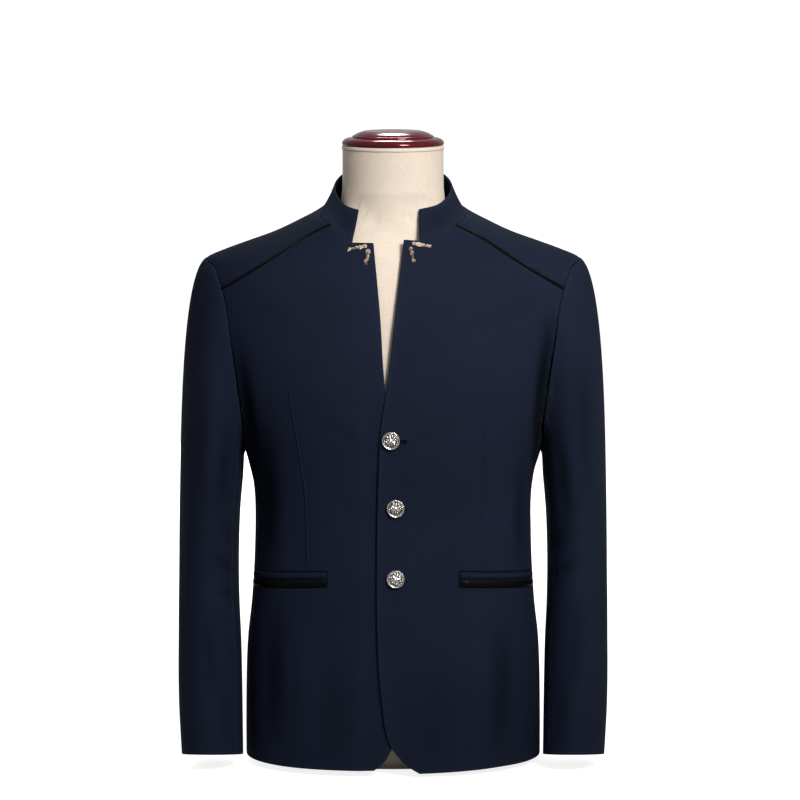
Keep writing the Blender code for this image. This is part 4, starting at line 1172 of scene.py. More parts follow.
def new_tree(name, kind, inputs, outputs):
    """An empty tree with named sockets: what it is given and what it puts out."""
    tree = bpy.data.node_groups.new(name, kind)
    for label, socket, value in inputs:
        made = tree.interface.new_socket(name=label, in_out="INPUT", socket_type=socket)
        if value is not None:
            made.default_value = value
    for label, socket in outputs:
        tree.interface.new_socket(name=label, in_out="OUTPUT", socket_type=socket)
    given = tree.nodes.new("NodeGroupInput").outputs
    return tree, given, tree.nodes.new("NodeGroupOutput").inputs


def reckoned(tree, operation, *values):
    """The result of one step of arithmetic on sockets or numbers."""
    return add(tree, "ShaderNodeMath", dict(enumerate(values)), operation=operation).outputs[0]


def chance(tree, low, high, **links):
    """A number for each point between two limits."""
    return add(tree, "FunctionNodeRandomValue", {**links, 2: low, 3: high},
               data_type="FLOAT").outputs[1]


def path_points(tree, geometry, step):
    """Points at equal steps on the path, with their direction and the cloth's facing."""
    curve = add(tree, "GeometryNodeMeshToCurve", {"Mesh": geometry})
    points = add(tree, "GeometryNodeCurveToPoints", {"Curve": curve.outputs[0], "Length": step},
                 mode="LENGTH").outputs
    facing = add(tree, "GeometryNodeInputNamedAttribute", {"Name": "facing"},
                 data_type="FLOAT_VECTOR")
    return points["Points"], points["Tangent"], facing.outputs[0]


def turned_on_cloth(tree, direction, facing, angle):
    """The direction turned by an angle on the cloth."""
    return add(tree, "ShaderNodeVectorRotate", {
        "Vector": direction, "Axis": facing, "Angle": angle}, rotation_type="AXIS_ANGLE").outputs[0]


def put_out(tree, out, geometry, finish):
    """Ends a tree with plain, smooth faces in their finish."""
    real = add(tree, "GeometryNodeRealizeInstances", {"Geometry": geometry})
    smooth = add(tree, "GeometryNodeSetShadeSmooth", {"Geometry": real.outputs[0]})
    done = add(tree, "GeometryNodeSetMaterial", {
        "Geometry": smooth.outputs[0], "Material": finish})
    tree.links.new(done.outputs[0], out[0])
    return tree


def stitch_tree():
    """Thread stitches laid along a path, turned by an angle to it."""
    tree, given, out = new_tree("laid_stitches", "GeometryNodeTree", [
        ("Geometry", "NodeSocketGeometry", None), ("Step", "NodeSocketFloat", 0.0006),
        ("Length", "NodeSocketFloat", 0.0018), ("Thread", "NodeSocketFloat", 0.0003),
        ("Turn", "NodeSocketFloat", 1.5708), ("Unevenness", "NodeSocketFloat", 0.12),
        ("Seed", "NodeSocketInt", 3), ("Finish", "NodeSocketMaterial", None),
    ], [("Geometry", "NodeSocketGeometry")])
    points, along, facing = path_points(tree, given["Geometry"], given["Step"])
    less = reckoned(tree, "SUBTRACT", 0.0, given["Unevenness"])
    wobble = chance(tree, less, given["Unevenness"], Seed=given["Seed"])
    angle = reckoned(tree, "ADD", given["Turn"], wobble)
    aim = add(tree, "FunctionNodeAlignRotationToVector", {
        "Vector": turned_on_cloth(tree, along, facing, angle)}, axis="X")
    stitch = add(tree, "GeometryNodeMeshUVSphere", {"Segments": 8, "Rings": 5, "Radius": 0.5})
    scale = add(tree, "ShaderNodeCombineXYZ", {
        0: given["Length"], 1: given["Thread"], 2: given["Thread"]})
    scaled = add(tree, "ShaderNodeVectorMath", {
        0: scale.outputs[0], "Scale": reckoned(tree, "ADD", 1.0, wobble)}, operation="SCALE")
    stitches = add(tree, "GeometryNodeInstanceOnPoints", {
        "Points": points, "Instance": stitch.outputs["Mesh"], "Rotation": aim.outputs[0],
        "Scale": scaled.outputs[0]})
    return put_out(tree, out, stitches.outputs[0], given["Finish"])


def spray_tree():
    """Pairs of satin-stitched leaves along a stem, smaller towards its tip."""
    tree, given, out = new_tree("leaf_spray", "GeometryNodeTree", [
        ("Geometry", "NodeSocketGeometry", None), ("Step", "NodeSocketFloat", 0.0030),
        ("Leaf", "NodeSocketObject", None), ("Spread", "NodeSocketFloat", 0.62),
        ("Unevenness", "NodeSocketFloat", 0.18), ("Seed", "NodeSocketInt", 5),
        ("Tone", "NodeSocketFloat", 0.4), ("Finish", "NodeSocketMaterial", None),
    ], [("Geometry", "NodeSocketGeometry")])
    points, along, facing = path_points(tree, given["Geometry"], given["Step"])
    leaf = add(tree, "GeometryNodeObjectInfo", {"Object": given["Leaf"]}).outputs["Geometry"]
    index = add(tree, "GeometryNodeInputIndex").outputs[0]
    shrink = reckoned(tree, "MULTIPLY_ADD", index, -0.028, 1.0)
    upright = add(tree, "FunctionNodeAlignRotationToVector", {"Vector": facing}, axis="Z")
    join = add(tree, "GeometryNodeJoinGeometry")
    for side, seed_step in ((1.0, 0.0), (-1.0, 7.0)):
        seed = reckoned(tree, "ADD", given["Seed"], seed_step)
        wobble = chance(tree, -0.18, given["Unevenness"], ID=index, Seed=seed)
        opened = reckoned(tree, "ADD", given["Spread"], wobble)
        angle = reckoned(tree, "MULTIPLY", opened, side)
        aim = add(tree, "FunctionNodeAlignRotationToVector", {
            "Rotation": upright.outputs[0],
            "Vector": turned_on_cloth(tree, along, facing, angle)}, axis="X", pivot_axis="Z")
        leaves = add(tree, "GeometryNodeInstanceOnPoints", {
            "Points": points, "Instance": leaf, "Rotation": aim.outputs[0],
            "Scale": reckoned(tree, "ADD", shrink, wobble)})
        tone = reckoned(tree, "MULTIPLY_ADD", chance(tree, 0.0, 1.0, Seed=seed), 1.1,
                        given["Tone"])
        toned = add(tree, "GeometryNodeStoreNamedAttribute", {
            "Geometry": leaves.outputs[0], "Name": "tone", "Value": tone},
            data_type="FLOAT", domain="INSTANCE")
        tree.links.new(toned.outputs[0], join.inputs[0])
    return put_out(tree, out, join.outputs[0], given["Finish"])


def grown(name, tree, paths, values):
    """The plain mesh that a tree of nodes makes along paths of (point, facing)."""
    points, facings, edges = [], [], []
    for path in paths:
        start = len(points)
        points += [tuple(point) for point, _ in path]
        facings += [tuple(facing) for _, facing in path]
        edges += [(start + k, start + k + 1) for k in range(len(path) - 1)]
    mesh = bpy.data.meshes.new(name)
    mesh.from_pydata(points, edges, [])
    layer = mesh.attributes.new(name="facing", type="FLOAT_VECTOR", domain="POINT")
    layer.data.foreach_set("vector", np.array(facings, dtype=np.float32).ravel())
    made = bpy.data.objects.new(name, mesh)
    bpy.context.scene.collection.objects.link(made)
    modifier = made.modifiers.new("Laid", "NODES")
    modifier.node_group = tree
    for item in tree.interface.items_tree:
        if item.item_type == "SOCKET" and item.in_out == "INPUT" and item.name in values:
            modifier[item.identifier] = values[item.name]
    evaluated = made.evaluated_get(bpy.context.evaluated_depsgraph_get())
    result = bpy.data.meshes.new_from_object(evaluated)
    made.modifiers.remove(modifier)
    made.data = result
    bpy.data.meshes.remove(mesh)
    result.name = name
    if not result.polygons:
        raise RuntimeError(f"{name}: its tree of nodes made nothing")
    return made


def cloth_path(surface, line, rise, count):
    """Points with their facing along (x, height) points on the cloth."""
    path = []
    for x, z in spread(line, count):
        angle = angle_at(x, z)
        path.append((laid(surface, angle, z, rise), body_normal(angle, z)))
    return path


def bar_tacks(side, surface):
    """Close stitches at the pocket's front end and along its two seams."""
    x, top = side * (POCKET_FRONT_X + BAR_TACK_X), POCKET_TOP_FRONT_Z
    tack = [(x, top + BAR_TACK_TOP), (x, top + BAR_TACK_FOOT)]
    paths = [cloth_path(surface, tack, 0.0002, 12)]
    start = angle_at(POCKET_FRONT_X, POCKET_TOP_FRONT_Z)
    turn = math.radians(POCKET_SIDE_ANGLE) - start
    for rise, share_end in POCKET_SEAM_RISES:
        seam = []
        for k in range(61):
            share = share_end * k / 60
            z = top + (POCKET_TOP_SIDE_Z - top) * share + rise
            angle = side * (start + turn * share)
            seam.append((laid(surface, angle, z, 0.0001), body_normal(angle, z)))
        paths.append(seam)
    made = grown(f"bar_tack_{word(side)}", MADE["stitches"], paths, {
        "Step": 0.0005, "Length": 0.0014, "Thread": 0.00050, "Turn": math.pi / 2,
        "Seed": 4, "Finish": finish_of("navy_thread")})
    return hand_in(made, None)


def satin_leaf():
    """One embroidered leaf, ribbed by its threads, with its foot at the origin."""
    length, half, height = 0.0037, 0.00075, 0.00060
    rows, columns = 9, 7
    points, faces = [], []
    for j in range(rows):
        t = j / (rows - 1)
        wide = half * math.sin(math.pi * (0.06 + 0.9 * t)) ** 0.8
        for i in range(columns):
            u = 2 * i / (columns - 1) - 1
            rib = 0.00006 * math.cos(math.pi * j)
            points.append((t * length, u * wide, (height + rib) * (1 - u * u) * (1 - 0.5 * t)))
    for j in range(rows - 1):
        for i in range(columns - 1):
            a = j * columns + i
            faces.append((a, a + columns, a + columns + 1, a + 1))
    mesh = bpy.data.meshes.new("satin_leaf")
    mesh.from_pydata(points, [], faces)
    mesh.shade_smooth()
    made = bpy.data.objects.new("satin_leaf", mesh)
    bpy.context.scene.collection.objects.link(made)
    return made


# Finishes
FINISHES = {}


def finish_of(name):
    return FINISHES[name]


def from_range(tree, value, low, high):
    """The value as 0 at low and 1 at high."""
    return add(tree, "ShaderNodeMapRange", {
        "Value": value, "From Min": low, "From Max": high}).outputs[0]


def ranged(tree, value, low, high):
    """A value of 0 to 1 as low to high."""
    return add(tree, "ShaderNodeMapRange", {
        "Value": value, "To Min": low, "To Max": high}).outputs[0]


def noise(tree, vector, scale, detail, roughness=0.5):
    """Soft, uneven spots."""
    return add(tree, "ShaderNodeTexNoise", {
        "Vector": vector, "Scale": scale, "Detail": detail, "Roughness": roughness}).outputs[0]


def woven_group():
    """Twill threads from a cut's own coordinates: height, thread tone and lint."""
    tree, given, out = new_tree("woven_threads", "ShaderNodeTree", [
        ("Vector", "NodeSocketVector", None), ("Thread", "NodeSocketFloat", 0.00045),
        ("Twill", "NodeSocketFloat", 1.0),
    ], [("Height", "NodeSocketFloat"), ("Tone", "NodeSocketFloat"), ("Lint", "NodeSocketFloat")])
    turns = reckoned(tree, "DIVIDE", 2 * math.pi, given["Thread"])
    threads = add(tree, "ShaderNodeVectorMath", {0: given["Vector"], "Scale": turns},
                  operation="SCALE").outputs[0]
    parts = add(tree, "ShaderNodeSeparateXYZ", {0: threads}).outputs
    warp, weft = reckoned(tree, "SINE", parts[0]), reckoned(tree, "SINE", parts[1])
    slant = reckoned(tree, "MULTIPLY", reckoned(tree, "ADD", parts[0], parts[1]), 0.5)
    twill = reckoned(tree, "MULTIPLY", reckoned(tree, "SINE", slant), given["Twill"])
    top = add(tree, "ShaderNodeMix", {
        0: from_range(tree, twill, -1.0, 1.0), 2: warp, 3: weft}, data_type="FLOAT").outputs[0]
    height = reckoned(tree, "MULTIPLY_ADD", noise(tree, threads, 0.25, 2.0, 0.7), 1.6, top)
    specks = noise(tree, given["Vector"], 900.0, 1.0)
    tree.links.new(height, out["Height"])
    tree.links.new(from_range(tree, height, -0.4, 2.2), out["Tone"])
    tree.links.new(from_range(tree, specks, 0.70, 0.80), out["Lint"])


def mottle_group():
    """Slow shade changes, and edges with a little wear and a painted sheen: shade, and edge wear with
    sheen.
    """
    tree, given, out = new_tree("mottle_wear_and_sheen", "ShaderNodeTree", [
        ("Vector", "NodeSocketVector", None), ("Edge", "NodeSocketFloat", 0.0),
        ("Scale", "NodeSocketFloat", 14.0),
    ], [("Shade", "NodeSocketFloat"), ("Edge_wear_and_sheen", "NodeSocketFloat")])
    slow = noise(tree, given["Vector"], given["Scale"], 3.0, 0.55)
    rough = from_range(tree, noise(tree, given["Vector"], 420.0, 3.0), 0.35, 0.65)
    tree.links.new(from_range(tree, slow, 0.3, 0.7), out["Shade"])
    tree.links.new(reckoned(tree, "MULTIPLY", given["Edge"], rough), out["Edge_wear_and_sheen"])


def streak_group():
    """Threads that thicken along their run, as slubs in linen and shine in satin."""
    tree, given, out = new_tree("thread_streaks", "ShaderNodeTree", [
        ("Vector", "NodeSocketVector", None), ("Across", "NodeSocketFloat", 1400.0),
        ("Along", "NodeSocketFloat", 60.0),
    ], [("Streak", "NodeSocketFloat")])
    both = add(tree, "ShaderNodeCombineXYZ", {
        0: given["Across"], 1: given["Along"], 2: given["Along"]})
    stretched = add(tree, "ShaderNodeVectorMath", {0: given["Vector"], 1: both.outputs[0]},
                    operation="MULTIPLY")
    streak = noise(tree, stretched.outputs[0], 1.0, 3.0, 0.6)
    tree.links.new(from_range(tree, streak, 0.3, 0.7), out["Streak"])


def new_finish(name, **values):
    """A material with its shader, and plain values on the shader's own sockets."""
    made = bpy.data.materials.new(name)
    made.use_nodes = True
    shader = made.node_tree.nodes["Principled BSDF"]
    for label, value in values.items():
        shader.inputs[label.replace("_", " ")].default_value = value
    FINISHES[name] = made
    return made.node_tree, shader


def on_cut(tree):
    """Coordinates on the flat cut of a piece."""
    return add(tree, "ShaderNodeUVMap", uv_map="cut").outputs[0]


def in_place(tree):
    """Coordinates in the object."""
    return add(tree, "ShaderNodeTexCoord").outputs["Object"]


def stored(tree, name):
    """A value that the piece carries at its points."""
    return add(tree, "ShaderNodeAttribute", attribute_name=name).outputs["Fac"]


def use_group(tree, name, **links):
    """What a shared group makes of its inputs."""
    return add(tree, "ShaderNodeGroup", links, node_tree=bpy.data.node_groups[name]).outputs


def shade(colour, share):
    """The colour made darker or lighter."""
    return tuple(part * share for part in colour)


def blended(tree, factor, one, two):
    """Colour between two others, each given as a colour or a socket."""
    ends = [end if isinstance(end, bpy.types.NodeSocket) else (*end, 1.0) for end in (one, two)]
    return add(tree, "ShaderNodeMix", {0: factor, 6: ends[0], 7: ends[1]},
               data_type="RGBA").outputs[2]


def faded(tree, mask, most, one, two):
    """The first colour, going over to the second by at most a share where the mask is full."""
    return blended(tree, ranged(tree, mask, 0.0, most), one, two)


def settle(tree, shader, colour, roughness):
    """Gives the shader its colour and roughness."""
    tree.links.new(colour, shader.inputs["Base Color"])
    tree.links.new(roughness, shader.inputs["Roughness"])


def bump(tree, shader, height, strength, distance):
    node = add(tree, "ShaderNodeBump", {
        "Height": height, "Strength": strength, "Distance": distance})
    tree.links.new(node.outputs[0], shader.inputs["Normal"])


def suit_cloth(tint):
    """Worsted twill: painted shade in the hollows of its creases, and a painted sheen with a little wear
    at its edges.
    """
    tree, shader = new_finish(
        "suit_cloth", Sheen_Weight=0.006, Sheen_Roughness=0.5,
        Sheen_Tint=(0.55, 0.62, 0.85, 1.0), Specular_IOR_Level=0.03)
    threads = use_group(tree, "woven_threads", Vector=on_cut(tree), Thread=sizes().thread)
    slow = use_group(tree, "mottle_wear_and_sheen", Vector=in_place(tree), Edge=stored(tree, "edge"), Scale=9.0)
    base = blended(tree, threads["Tone"], tint.navy, tint.navy_light)
    base = faded(tree, slow["Shade"], 0.30, base, shade(tint.navy, 0.55))
    # Painted shade: darker in the hollows of the creases and along the cloth jet's borders
    base = faded(tree, stored(tree, "hollow"), 0.80, base, shade(tint.navy, 0.08))
    # A painted sheen with a little wear: lighter at the edges
    base = faded(tree, slow["Edge_wear_and_sheen"], 0.40, base, shade(tint.navy_light, 1.7))
    base = faded(tree, threads["Lint"], 0.10, base, (0.10, 0.11, 0.14))
    settle(tree, shader, base, ranged(tree, threads["Tone"], 0.82, 0.66))
    bump(tree, shader, threads["Height"], 0.35, 0.00010)


def satin(tint):
    """Black satin, with the shine of its long threads and painted warm glints at its borders."""
    tree, shader = new_finish(
        "satin", Sheen_Weight=0.0, Sheen_Roughness=0.3, Specular_IOR_Level=0.035)
    lines = use_group(tree, "thread_streaks", Vector=on_cut(tree), Across=900.0, Along=90.0)["Streak"]
    slow = use_group(tree, "mottle_wear_and_sheen", Vector=in_place(tree), Edge=stored(tree, "edge"), Scale=60.0)
    base = blended(tree, lines, tint.satin, shade(tint.satin, 1.8))
    # Painted warm glints at the borders of the piping and the satin jet
    base = faded(tree, slow["Edge_wear_and_sheen"], 0.3, base, (0.020, 0.015, 0.012))
    settle(tree, shader, base, ranged(tree, lines, 0.26, 0.44))
    bump(tree, shader, lines, 0.25, 0.00012)


def button_metal(tint):
    """Silvery metal, darker in the hollows of its relief."""
    tree, shader = new_finish("button_metal", Metallic=1.0)
    hollow = stored(tree, "hollow")
    slow = use_group(tree, "mottle_wear_and_sheen", Vector=in_place(tree), Edge=hollow, Scale=300.0)["Shade"]
    base = faded(tree, hollow, 0.95, tint.silver, (0.022, 0.020, 0.020))
    base = faded(tree, slow, 0.25, base, (0.62, 0.58, 0.52))
    settle(tree, shader, base, ranged(tree, slow, 0.16, 0.34))
    bump(tree, shader, slow, 0.12, 0.0001)


def embroidery(tint):
    """Shiny thread in two tones, by the leaf."""
    tree, shader = new_finish(
        "embroidery", Sheen_Weight=0.03, Sheen_Roughness=0.3, Specular_IOR_Level=0.45)
    lines = use_group(tree, "thread_streaks", Vector=in_place(tree), Across=2600.0, Along=900.0)["Streak"]
    base = blended(tree, stored(tree, "tone"), tint.bronze, tint.tan)
    base = faded(tree, lines, 0.40, base, (0.055, 0.030, 0.014))
    settle(tree, shader, base, ranged(tree, lines, 0.45, 0.28))
    bump(tree, shader, lines, 0.5, 0.0002)


def navy_thread(tint):
    """Sewing thread, a shade darker than the cloth."""
    tree, shader = new_finish("navy_thread", Specular_IOR_Level=0.02)
    lines = use_group(tree, "thread_streaks", Vector=in_place(tree), Across=2600.0, Along=1200.0)["Streak"]
    base = blended(tree, lines, shade(tint.navy, 0.15), shade(tint.navy, 0.5))
    settle(tree, shader, base, ranged(tree, lines, 0.62, 0.45))
    bump(tree, shader, lines, 0.4, 0.0002)


def form_linen(tint):
    """Plain-woven linen with slubs both ways."""
    tree, shader = new_finish(
        "form_linen", Sheen_Weight=0.04, Sheen_Roughness=0.6, Specular_IOR_Level=0.12)
    cut = on_cut(tree)
    turned = add(tree, "ShaderNodeVectorRotate", {"Vector": cut, "Angle": math.pi / 2},
                 rotation_type="Z_AXIS").outputs[0]
    threads = use_group(tree, "woven_threads", Vector=cut, Thread=0.0010, Twill=0.0)
    along = use_group(tree, "thread_streaks", Vector=cut, Across=900.0, Along=34.0)["Streak"]
    across = use_group(tree, "thread_streaks", Vector=turned, Across=1000.0, Along=40.0)["Streak"]
    slow = use_group(tree, "mottle_wear_and_sheen", Vector=in_place(tree), Edge=stored(tree, "edge"), Scale=22.0)
    base = faded(tree, along, 0.55, tint.linen, shade(tint.linen, 0.72))
    base = faded(tree, across, 0.40, base, shade(tint.linen, 1.3))
    base = blended(tree, ranged(tree, threads["Tone"], 0.22, 0.0), base, shade(tint.linen, 0.5))
    base = faded(tree, slow["Shade"], 0.18, base, (0.56, 0.48, 0.38))
    settle(tree, shader, base, ranged(tree, threads["Tone"], 0.95, 0.80))
    bump(tree, shader, threads["Height"], 0.45, 0.00025)


def lacquered_wood(tint):
    """Turned wood under a clear, glossy lacquer."""
    tree, shader = new_finish(
        "lacquered_wood", Coat_Weight=0.45, Coat_Roughness=0.04, Coat_IOR=1.40,
        Specular_IOR_Level=0.05, Metallic=0.35)
    place = in_place(tree)
    grain = use_group(tree, "thread_streaks", Vector=place, Across=26.0, Along=240.0)["Streak"]
    slow = use_group(tree, "mottle_wear_and_sheen", Vector=place, Edge=stored(tree, "edge"), Scale=30.0)["Shade"]
    base = faded(tree, grain, 0.75, tint.lacquer, shade(tint.lacquer, 0.25))
    base = faded(tree, slow, 0.4, base, (0.012, 0.003, 0.004))
    settle(tree, shader, base, ranged(tree, grain, 0.14, 0.22))
    bump(tree, shader, grain, 0.05, 0.0002)


def pale_floor(tint):
    """Pale paper that glows to the camera alone, so it runs out into the white."""
    tree, shader = new_finish(
        "pale_floor", Specular_IOR_Level=0.2, Emission_Color=(1.0, 1.0, 1.0, 1.0))
    slow = use_group(tree, "mottle_wear_and_sheen", Vector=in_place(tree), Scale=2.0)["Shade"]
    base = faded(tree, slow, 0.05, tint.floor, (0.42, 0.42, 0.43))
    settle(tree, shader, base, ranged(tree, slow, 0.7, 0.8))
    seen = add(tree, "ShaderNodeLightPath").outputs["Is Camera Ray"]
    tree.links.new(ranged(tree, seen, 0.0, FLOOR_GLOW), shader.inputs["Emission Strength"])


def make_finishes():
    """Every finish of the jacket, the form and the floor, from three shared groups."""
    woven_group()
    mottle_group()
    streak_group()
    for finish in (suit_cloth, satin, button_metal, embroidery, navy_thread, form_linen,
                   lacquered_wood, pale_floor):
        finish(colours())


# Dress form
def form_meridian(angle):
    """Points of the form from its base up to the neck's top, at one angle."""
    line = []
    for z in FORM_ROWS:
        half, depth = section(z, math.cos(angle) > 0)
        half = min(half, FORM_ARM_END)
        ease = clamped((FORM_EASE_TOP_Z - z) / FORM_EASE)
        clear = FORM_CLEAR_SHOULDER + (FORM_CLEAR_BODY - FORM_CLEAR_SHOULDER) * ease
        neck_ease = clamped((z - FORM_COLLAR_Z) / FORM_COLLAR_FADE)
        taper = FORM_BASE_TAPER * (1 - min(z / FORM_TAPER_TOP_Z, 1.0)) ** 2
        x, y = round_section(half - taper, depth - taper, angle)
        normal = body_normal(angle, z)
        near_neck = clamped((FORM_COLLAR_X - abs(x)) / FORM_COLLAR_FADE) * neck_ease
        if z < FORM_LEVEL_TOP_Z:
            normal = Vector((normal.x, normal.y, 0)).normalized()
        spot = Vector((x, y, z)) - normal * (clear + FORM_CLEAR_COLLAR * near_neck)
        away = Vector((spot.x, spot.y - CENTRE_Y))
        if z >= THROAT_Z and away.length < NECK_RADIUS:
            away *= NECK_RADIUS / away.length
            spot = Vector((away.x, away.y + CENTRE_Y, z))
        line.append(spot)
    for z, radius in FORM_NECK:
        line.append(Vector((radius * math.sin(angle), CENTRE_Y - radius * math.cos(angle), z)))
    return line


def linen_form():
    """The linen-covered torso with a rounded base edge and its neck."""
    sides, rows = 180, 210
    columns = [spread(form_meridian(2 * math.pi * k / sides - math.pi), rows) for k in range(sides)]
    grid = np.array(columns).transpose(1, 0, 2)
    closed = np.concatenate([grid, grid[:, :1]], axis=1)
    u, v = run_lengths(closed)
    u = u - u[:, sides // 2][:, None]
    points = list(closed.reshape(-1, 3)) + [(0.0, CENTRE_Y, 0.0), (0.0, CENTRE_Y, NECK_TOP_Z)]
    faces = grid_faces(rows + 1, sides + 1)
    base, top = len(points) - 2, len(points) - 1
    start = rows * (sides + 1)
    for k in range(sides):
        faces.append((k + 1, k, base))
        faces.append((start + k, start + k + 1, top))
    uv = np.concatenate([np.stack([u, v], axis=2).reshape(-1, 2), [[0.0, 0.0], [0.0, 0.0]]])
    edge_value = np.concatenate([np.exp(-(v[-1:] - v) / 0.004).ravel(), [0.0, 0.0]])
    made = made_object("form_linen_body", points, faces, finish_of("form_linen"), uv,
                       edge=edge_value)
    outward_faces(made)
    return hand_in(made, "form_body")


def turned_piece(name, profile, sides, finish, wobble=0.0):
    """A piece turned round the neck's axis from a closed profile of (radius, height)."""
    points, uv = [], []
    for k in range(sides + 1):
        turn = 2 * math.pi * k / sides
        for radius, z in profile:
            wave = radius + wobble * math.sin(9 * turn + 2 * math.sin(4 * turn))
            points.append((wave * math.sin(turn), CENTRE_Y - wave * math.cos(turn), z))
            uv.append((radius * turn, z))
    size = len(profile)
    faces = []
    for k in range(sides):
        for j in range(size - 1):
            a = k * size + j
            faces.append((a, a + size, a + size + 1, a + 1))
    return made_object(name, points, faces, finish, uv, edge=[0.0] * len(points))


def merged(made):
    """Joins the doubled points of a turned piece and closes it."""
    work = bmesh.new()
    work.from_mesh(made.data)
    bmesh.ops.remove_doubles(work, verts=work.verts, dist=1e-6)
    bmesh.ops.recalc_face_normals(work, faces=work.faces)
    work.to_mesh(made.data)
    work.free()
    made.data.shade_smooth()
    return made


def neck_fold():
    """The turned-in edge of the linen under the cap, a soft flat roll."""
    z = NECK_TOP_Z
    outer = NECK_RADIUS
    profile = [(outer - 0.0010, z - 0.0048), (outer + 0.0004, z - 0.0046), (outer + 0.0008, z - 0.0038),
               (outer + 0.0009, z - 0.0024), (outer + 0.0007, z - 0.0010), (outer + 0.0003, z - 0.0003),
               (outer - 0.0012, z - 0.0003), (outer - 0.0010, z - 0.0048)]
    made = turned_piece("neck_fold", profile, 160, finish_of("form_linen"), wobble=0.00010)
    return hand_in(merged(made), None)


def lacquered_cap():
    """The turned cap of the neck: a broad rim, a hollow and a rounded top step."""
    base = NECK_TOP_Z + SEAM
    rough = [(0.0, 0.0), (0.0590, 0.0), (0.0614, 0.0003), (0.0630, 0.0012), (0.0634, 0.0025),
             (0.0632, 0.0038), (0.0623, 0.0055), (0.0603, 0.0073), (0.0570, 0.0087),
             (0.0532, 0.0093), (0.0512, 0.0094), (0.0505, 0.0100), (0.0506, 0.0109),
             (0.0502, 0.0117), (0.0490, 0.0121), (0.0481, 0.0126), (0.0470, 0.0134),
             (0.0440, 0.0149), (0.0400, 0.0164), (0.0368, 0.0173), (0.0340, 0.0176),
             (0.0180, 0.0177), (0.0, 0.0177)]
    flat = rough[:2]
    curved = spread(rough[1:], 90)
    profile = [(max(r, 0.0), base + h) for r, h in joined(flat, curved)]
    made = turned_piece("form_cap_lacquer", profile, 128, finish_of("lacquered_wood"))
    return hand_in(merged(made), "form_cap")


# Stage
def area_light(name, place, aim, size, power, colour, spread_angle, in_shine):
    """A rectangular lamp; a soft one that shiny pieces don't mirror is not in their shine."""
    light = bpy.data.lights.new(name, "AREA")
    light.spread = math.radians(spread_angle)
    light.shape = "RECTANGLE"
    light.size, light.size_y = size
    light.energy = power
    light.color = colour
    made = bpy.data.objects.new(name, light)
    made.location = place
    made.rotation_euler = (Vector(aim) - Vector(place)).to_track_quat("-Z", "Y").to_euler()
    made.visible_glossy = in_shine
    bpy.context.scene.collection.objects.link(made)


def pale_ground():
    """A wide round floor."""
    count = 64
    turns = [2 * math.pi * k / count for k in range(count)]
    points = [(0.0, 0.0, 0.0)]
    points += [(FLOOR_RADIUS * math.cos(t), FLOOR_RADIUS * math.sin(t), 0.0) for t in turns]
    faces = [(0, 1 + k, 1 + (k + 1) % count) for k in range(count)]
    made_object("pale_floor", points, faces, finish_of("pale_floor"))


def studio_air():
    """White light from all round, brighter from the front and the wearer's left."""
    world = bpy.data.worlds.new("studio")
    world.use_nodes = True
    tree = world.node_tree
    background = tree.nodes["Background"]
    background.inputs["Color"].default_value = (1.0, 1.0, 1.0, 1.0)
    view = add(tree, "ShaderNodeTexCoord").outputs["Generated"]
    towards = add(tree, "ShaderNodeVectorMath", {0: view, 1: BRIGHT_SIDE},
                  operation="DOT_PRODUCT").outputs["Value"]
    bright = add(tree, "ShaderNodeMapRange", {
        "Value": towards, "From Min": -0.8, "From Max": 0.9, "To Min": STUDIO_DARK,
        "To Max": STUDIO_BRIGHT}).outputs[0]
    tree.links.new(bright, background.inputs["Strength"])
    bpy.context.scene.world = world


def front_camera():
    """The camera at the photo's angle."""
    camera = bpy.data.cameras.new("camera")
    camera.lens = CAMERA_LENS
    camera.sensor_width = 36.0
    camera.clip_end = 300.0
    made = bpy.data.objects.new("camera", camera)
    made.location = CAMERA_PLACE
    drop = math.atan2(CAMERA_PLACE[2] - CAMERA_AIM_Z, -CAMERA_PLACE[1])
    made.rotation_euler = (math.radians(90) - drop, 0.0, 0.0)
    bpy.context.scene.collection.objects.link(made)
    bpy.context.scene.camera = made


# Operators
MADE = {}


class JACKET_OT_finishes(bpy.types.Operator):
    """Mixes the finishes of cloth, satin, metal, linen and lacquer"""
    bl_idname = "jacket.finishes"
    bl_label = "Mix finishes"

    def execute(self, context):
        make_finishes()
        return {"FINISHED"}


class JACKET_OT_form(bpy.types.Operator):
    """Makes the linen form, its neck fold and its cap"""
    bl_idname = "jacket.form"
    bl_label = "Dress form"

    def execute(self, context):
        MADE["form"] = linen_form()
        neck_fold()
        lacquered_cap()
        return {"FINISHED"}


class JACKET_OT_panels(bpy.types.Operator):
    """Cuts the fronts, side panels, backs and yokes"""
    bl_idname = "jacket.panels"
    bl_label = "Body panels"

    def execute(self, context):
        MADE["lines"] = {side: lines_of(side) for side in (1, -1)}
        for side, lines in MADE["lines"].items():
            MADE["front", side] = front_panel(side, lines)
            MADE["side", side] = side_panel(side, lines)
            MADE["back", side] = back_panel(side, lines)
            MADE["yoke", side] = yoke_panel(side, lines)
        return {"FINISHED"}


class JACKET_OT_sleeves(bpy.types.Operator):
    """Cuts the top and under sleeves"""
    bl_idname = "jacket.sleeves"
    bl_label = "Sleeves"

    def execute(self, context):
        for side, lines in MADE["lines"].items():
            MADE["sleeve", side] = sleeve(side, lines)
        return {"FINISHED"}


class JACKET_OT_collar(bpy.types.Operator):
    """Makes the stand collar"""
    bl_idname = "jacket.collar"
    bl_label = "Stand collar"

    def execute(self, context):
        MADE["collar"] = stand_collar(MADE["lines"])
        return {"FINISHED"}


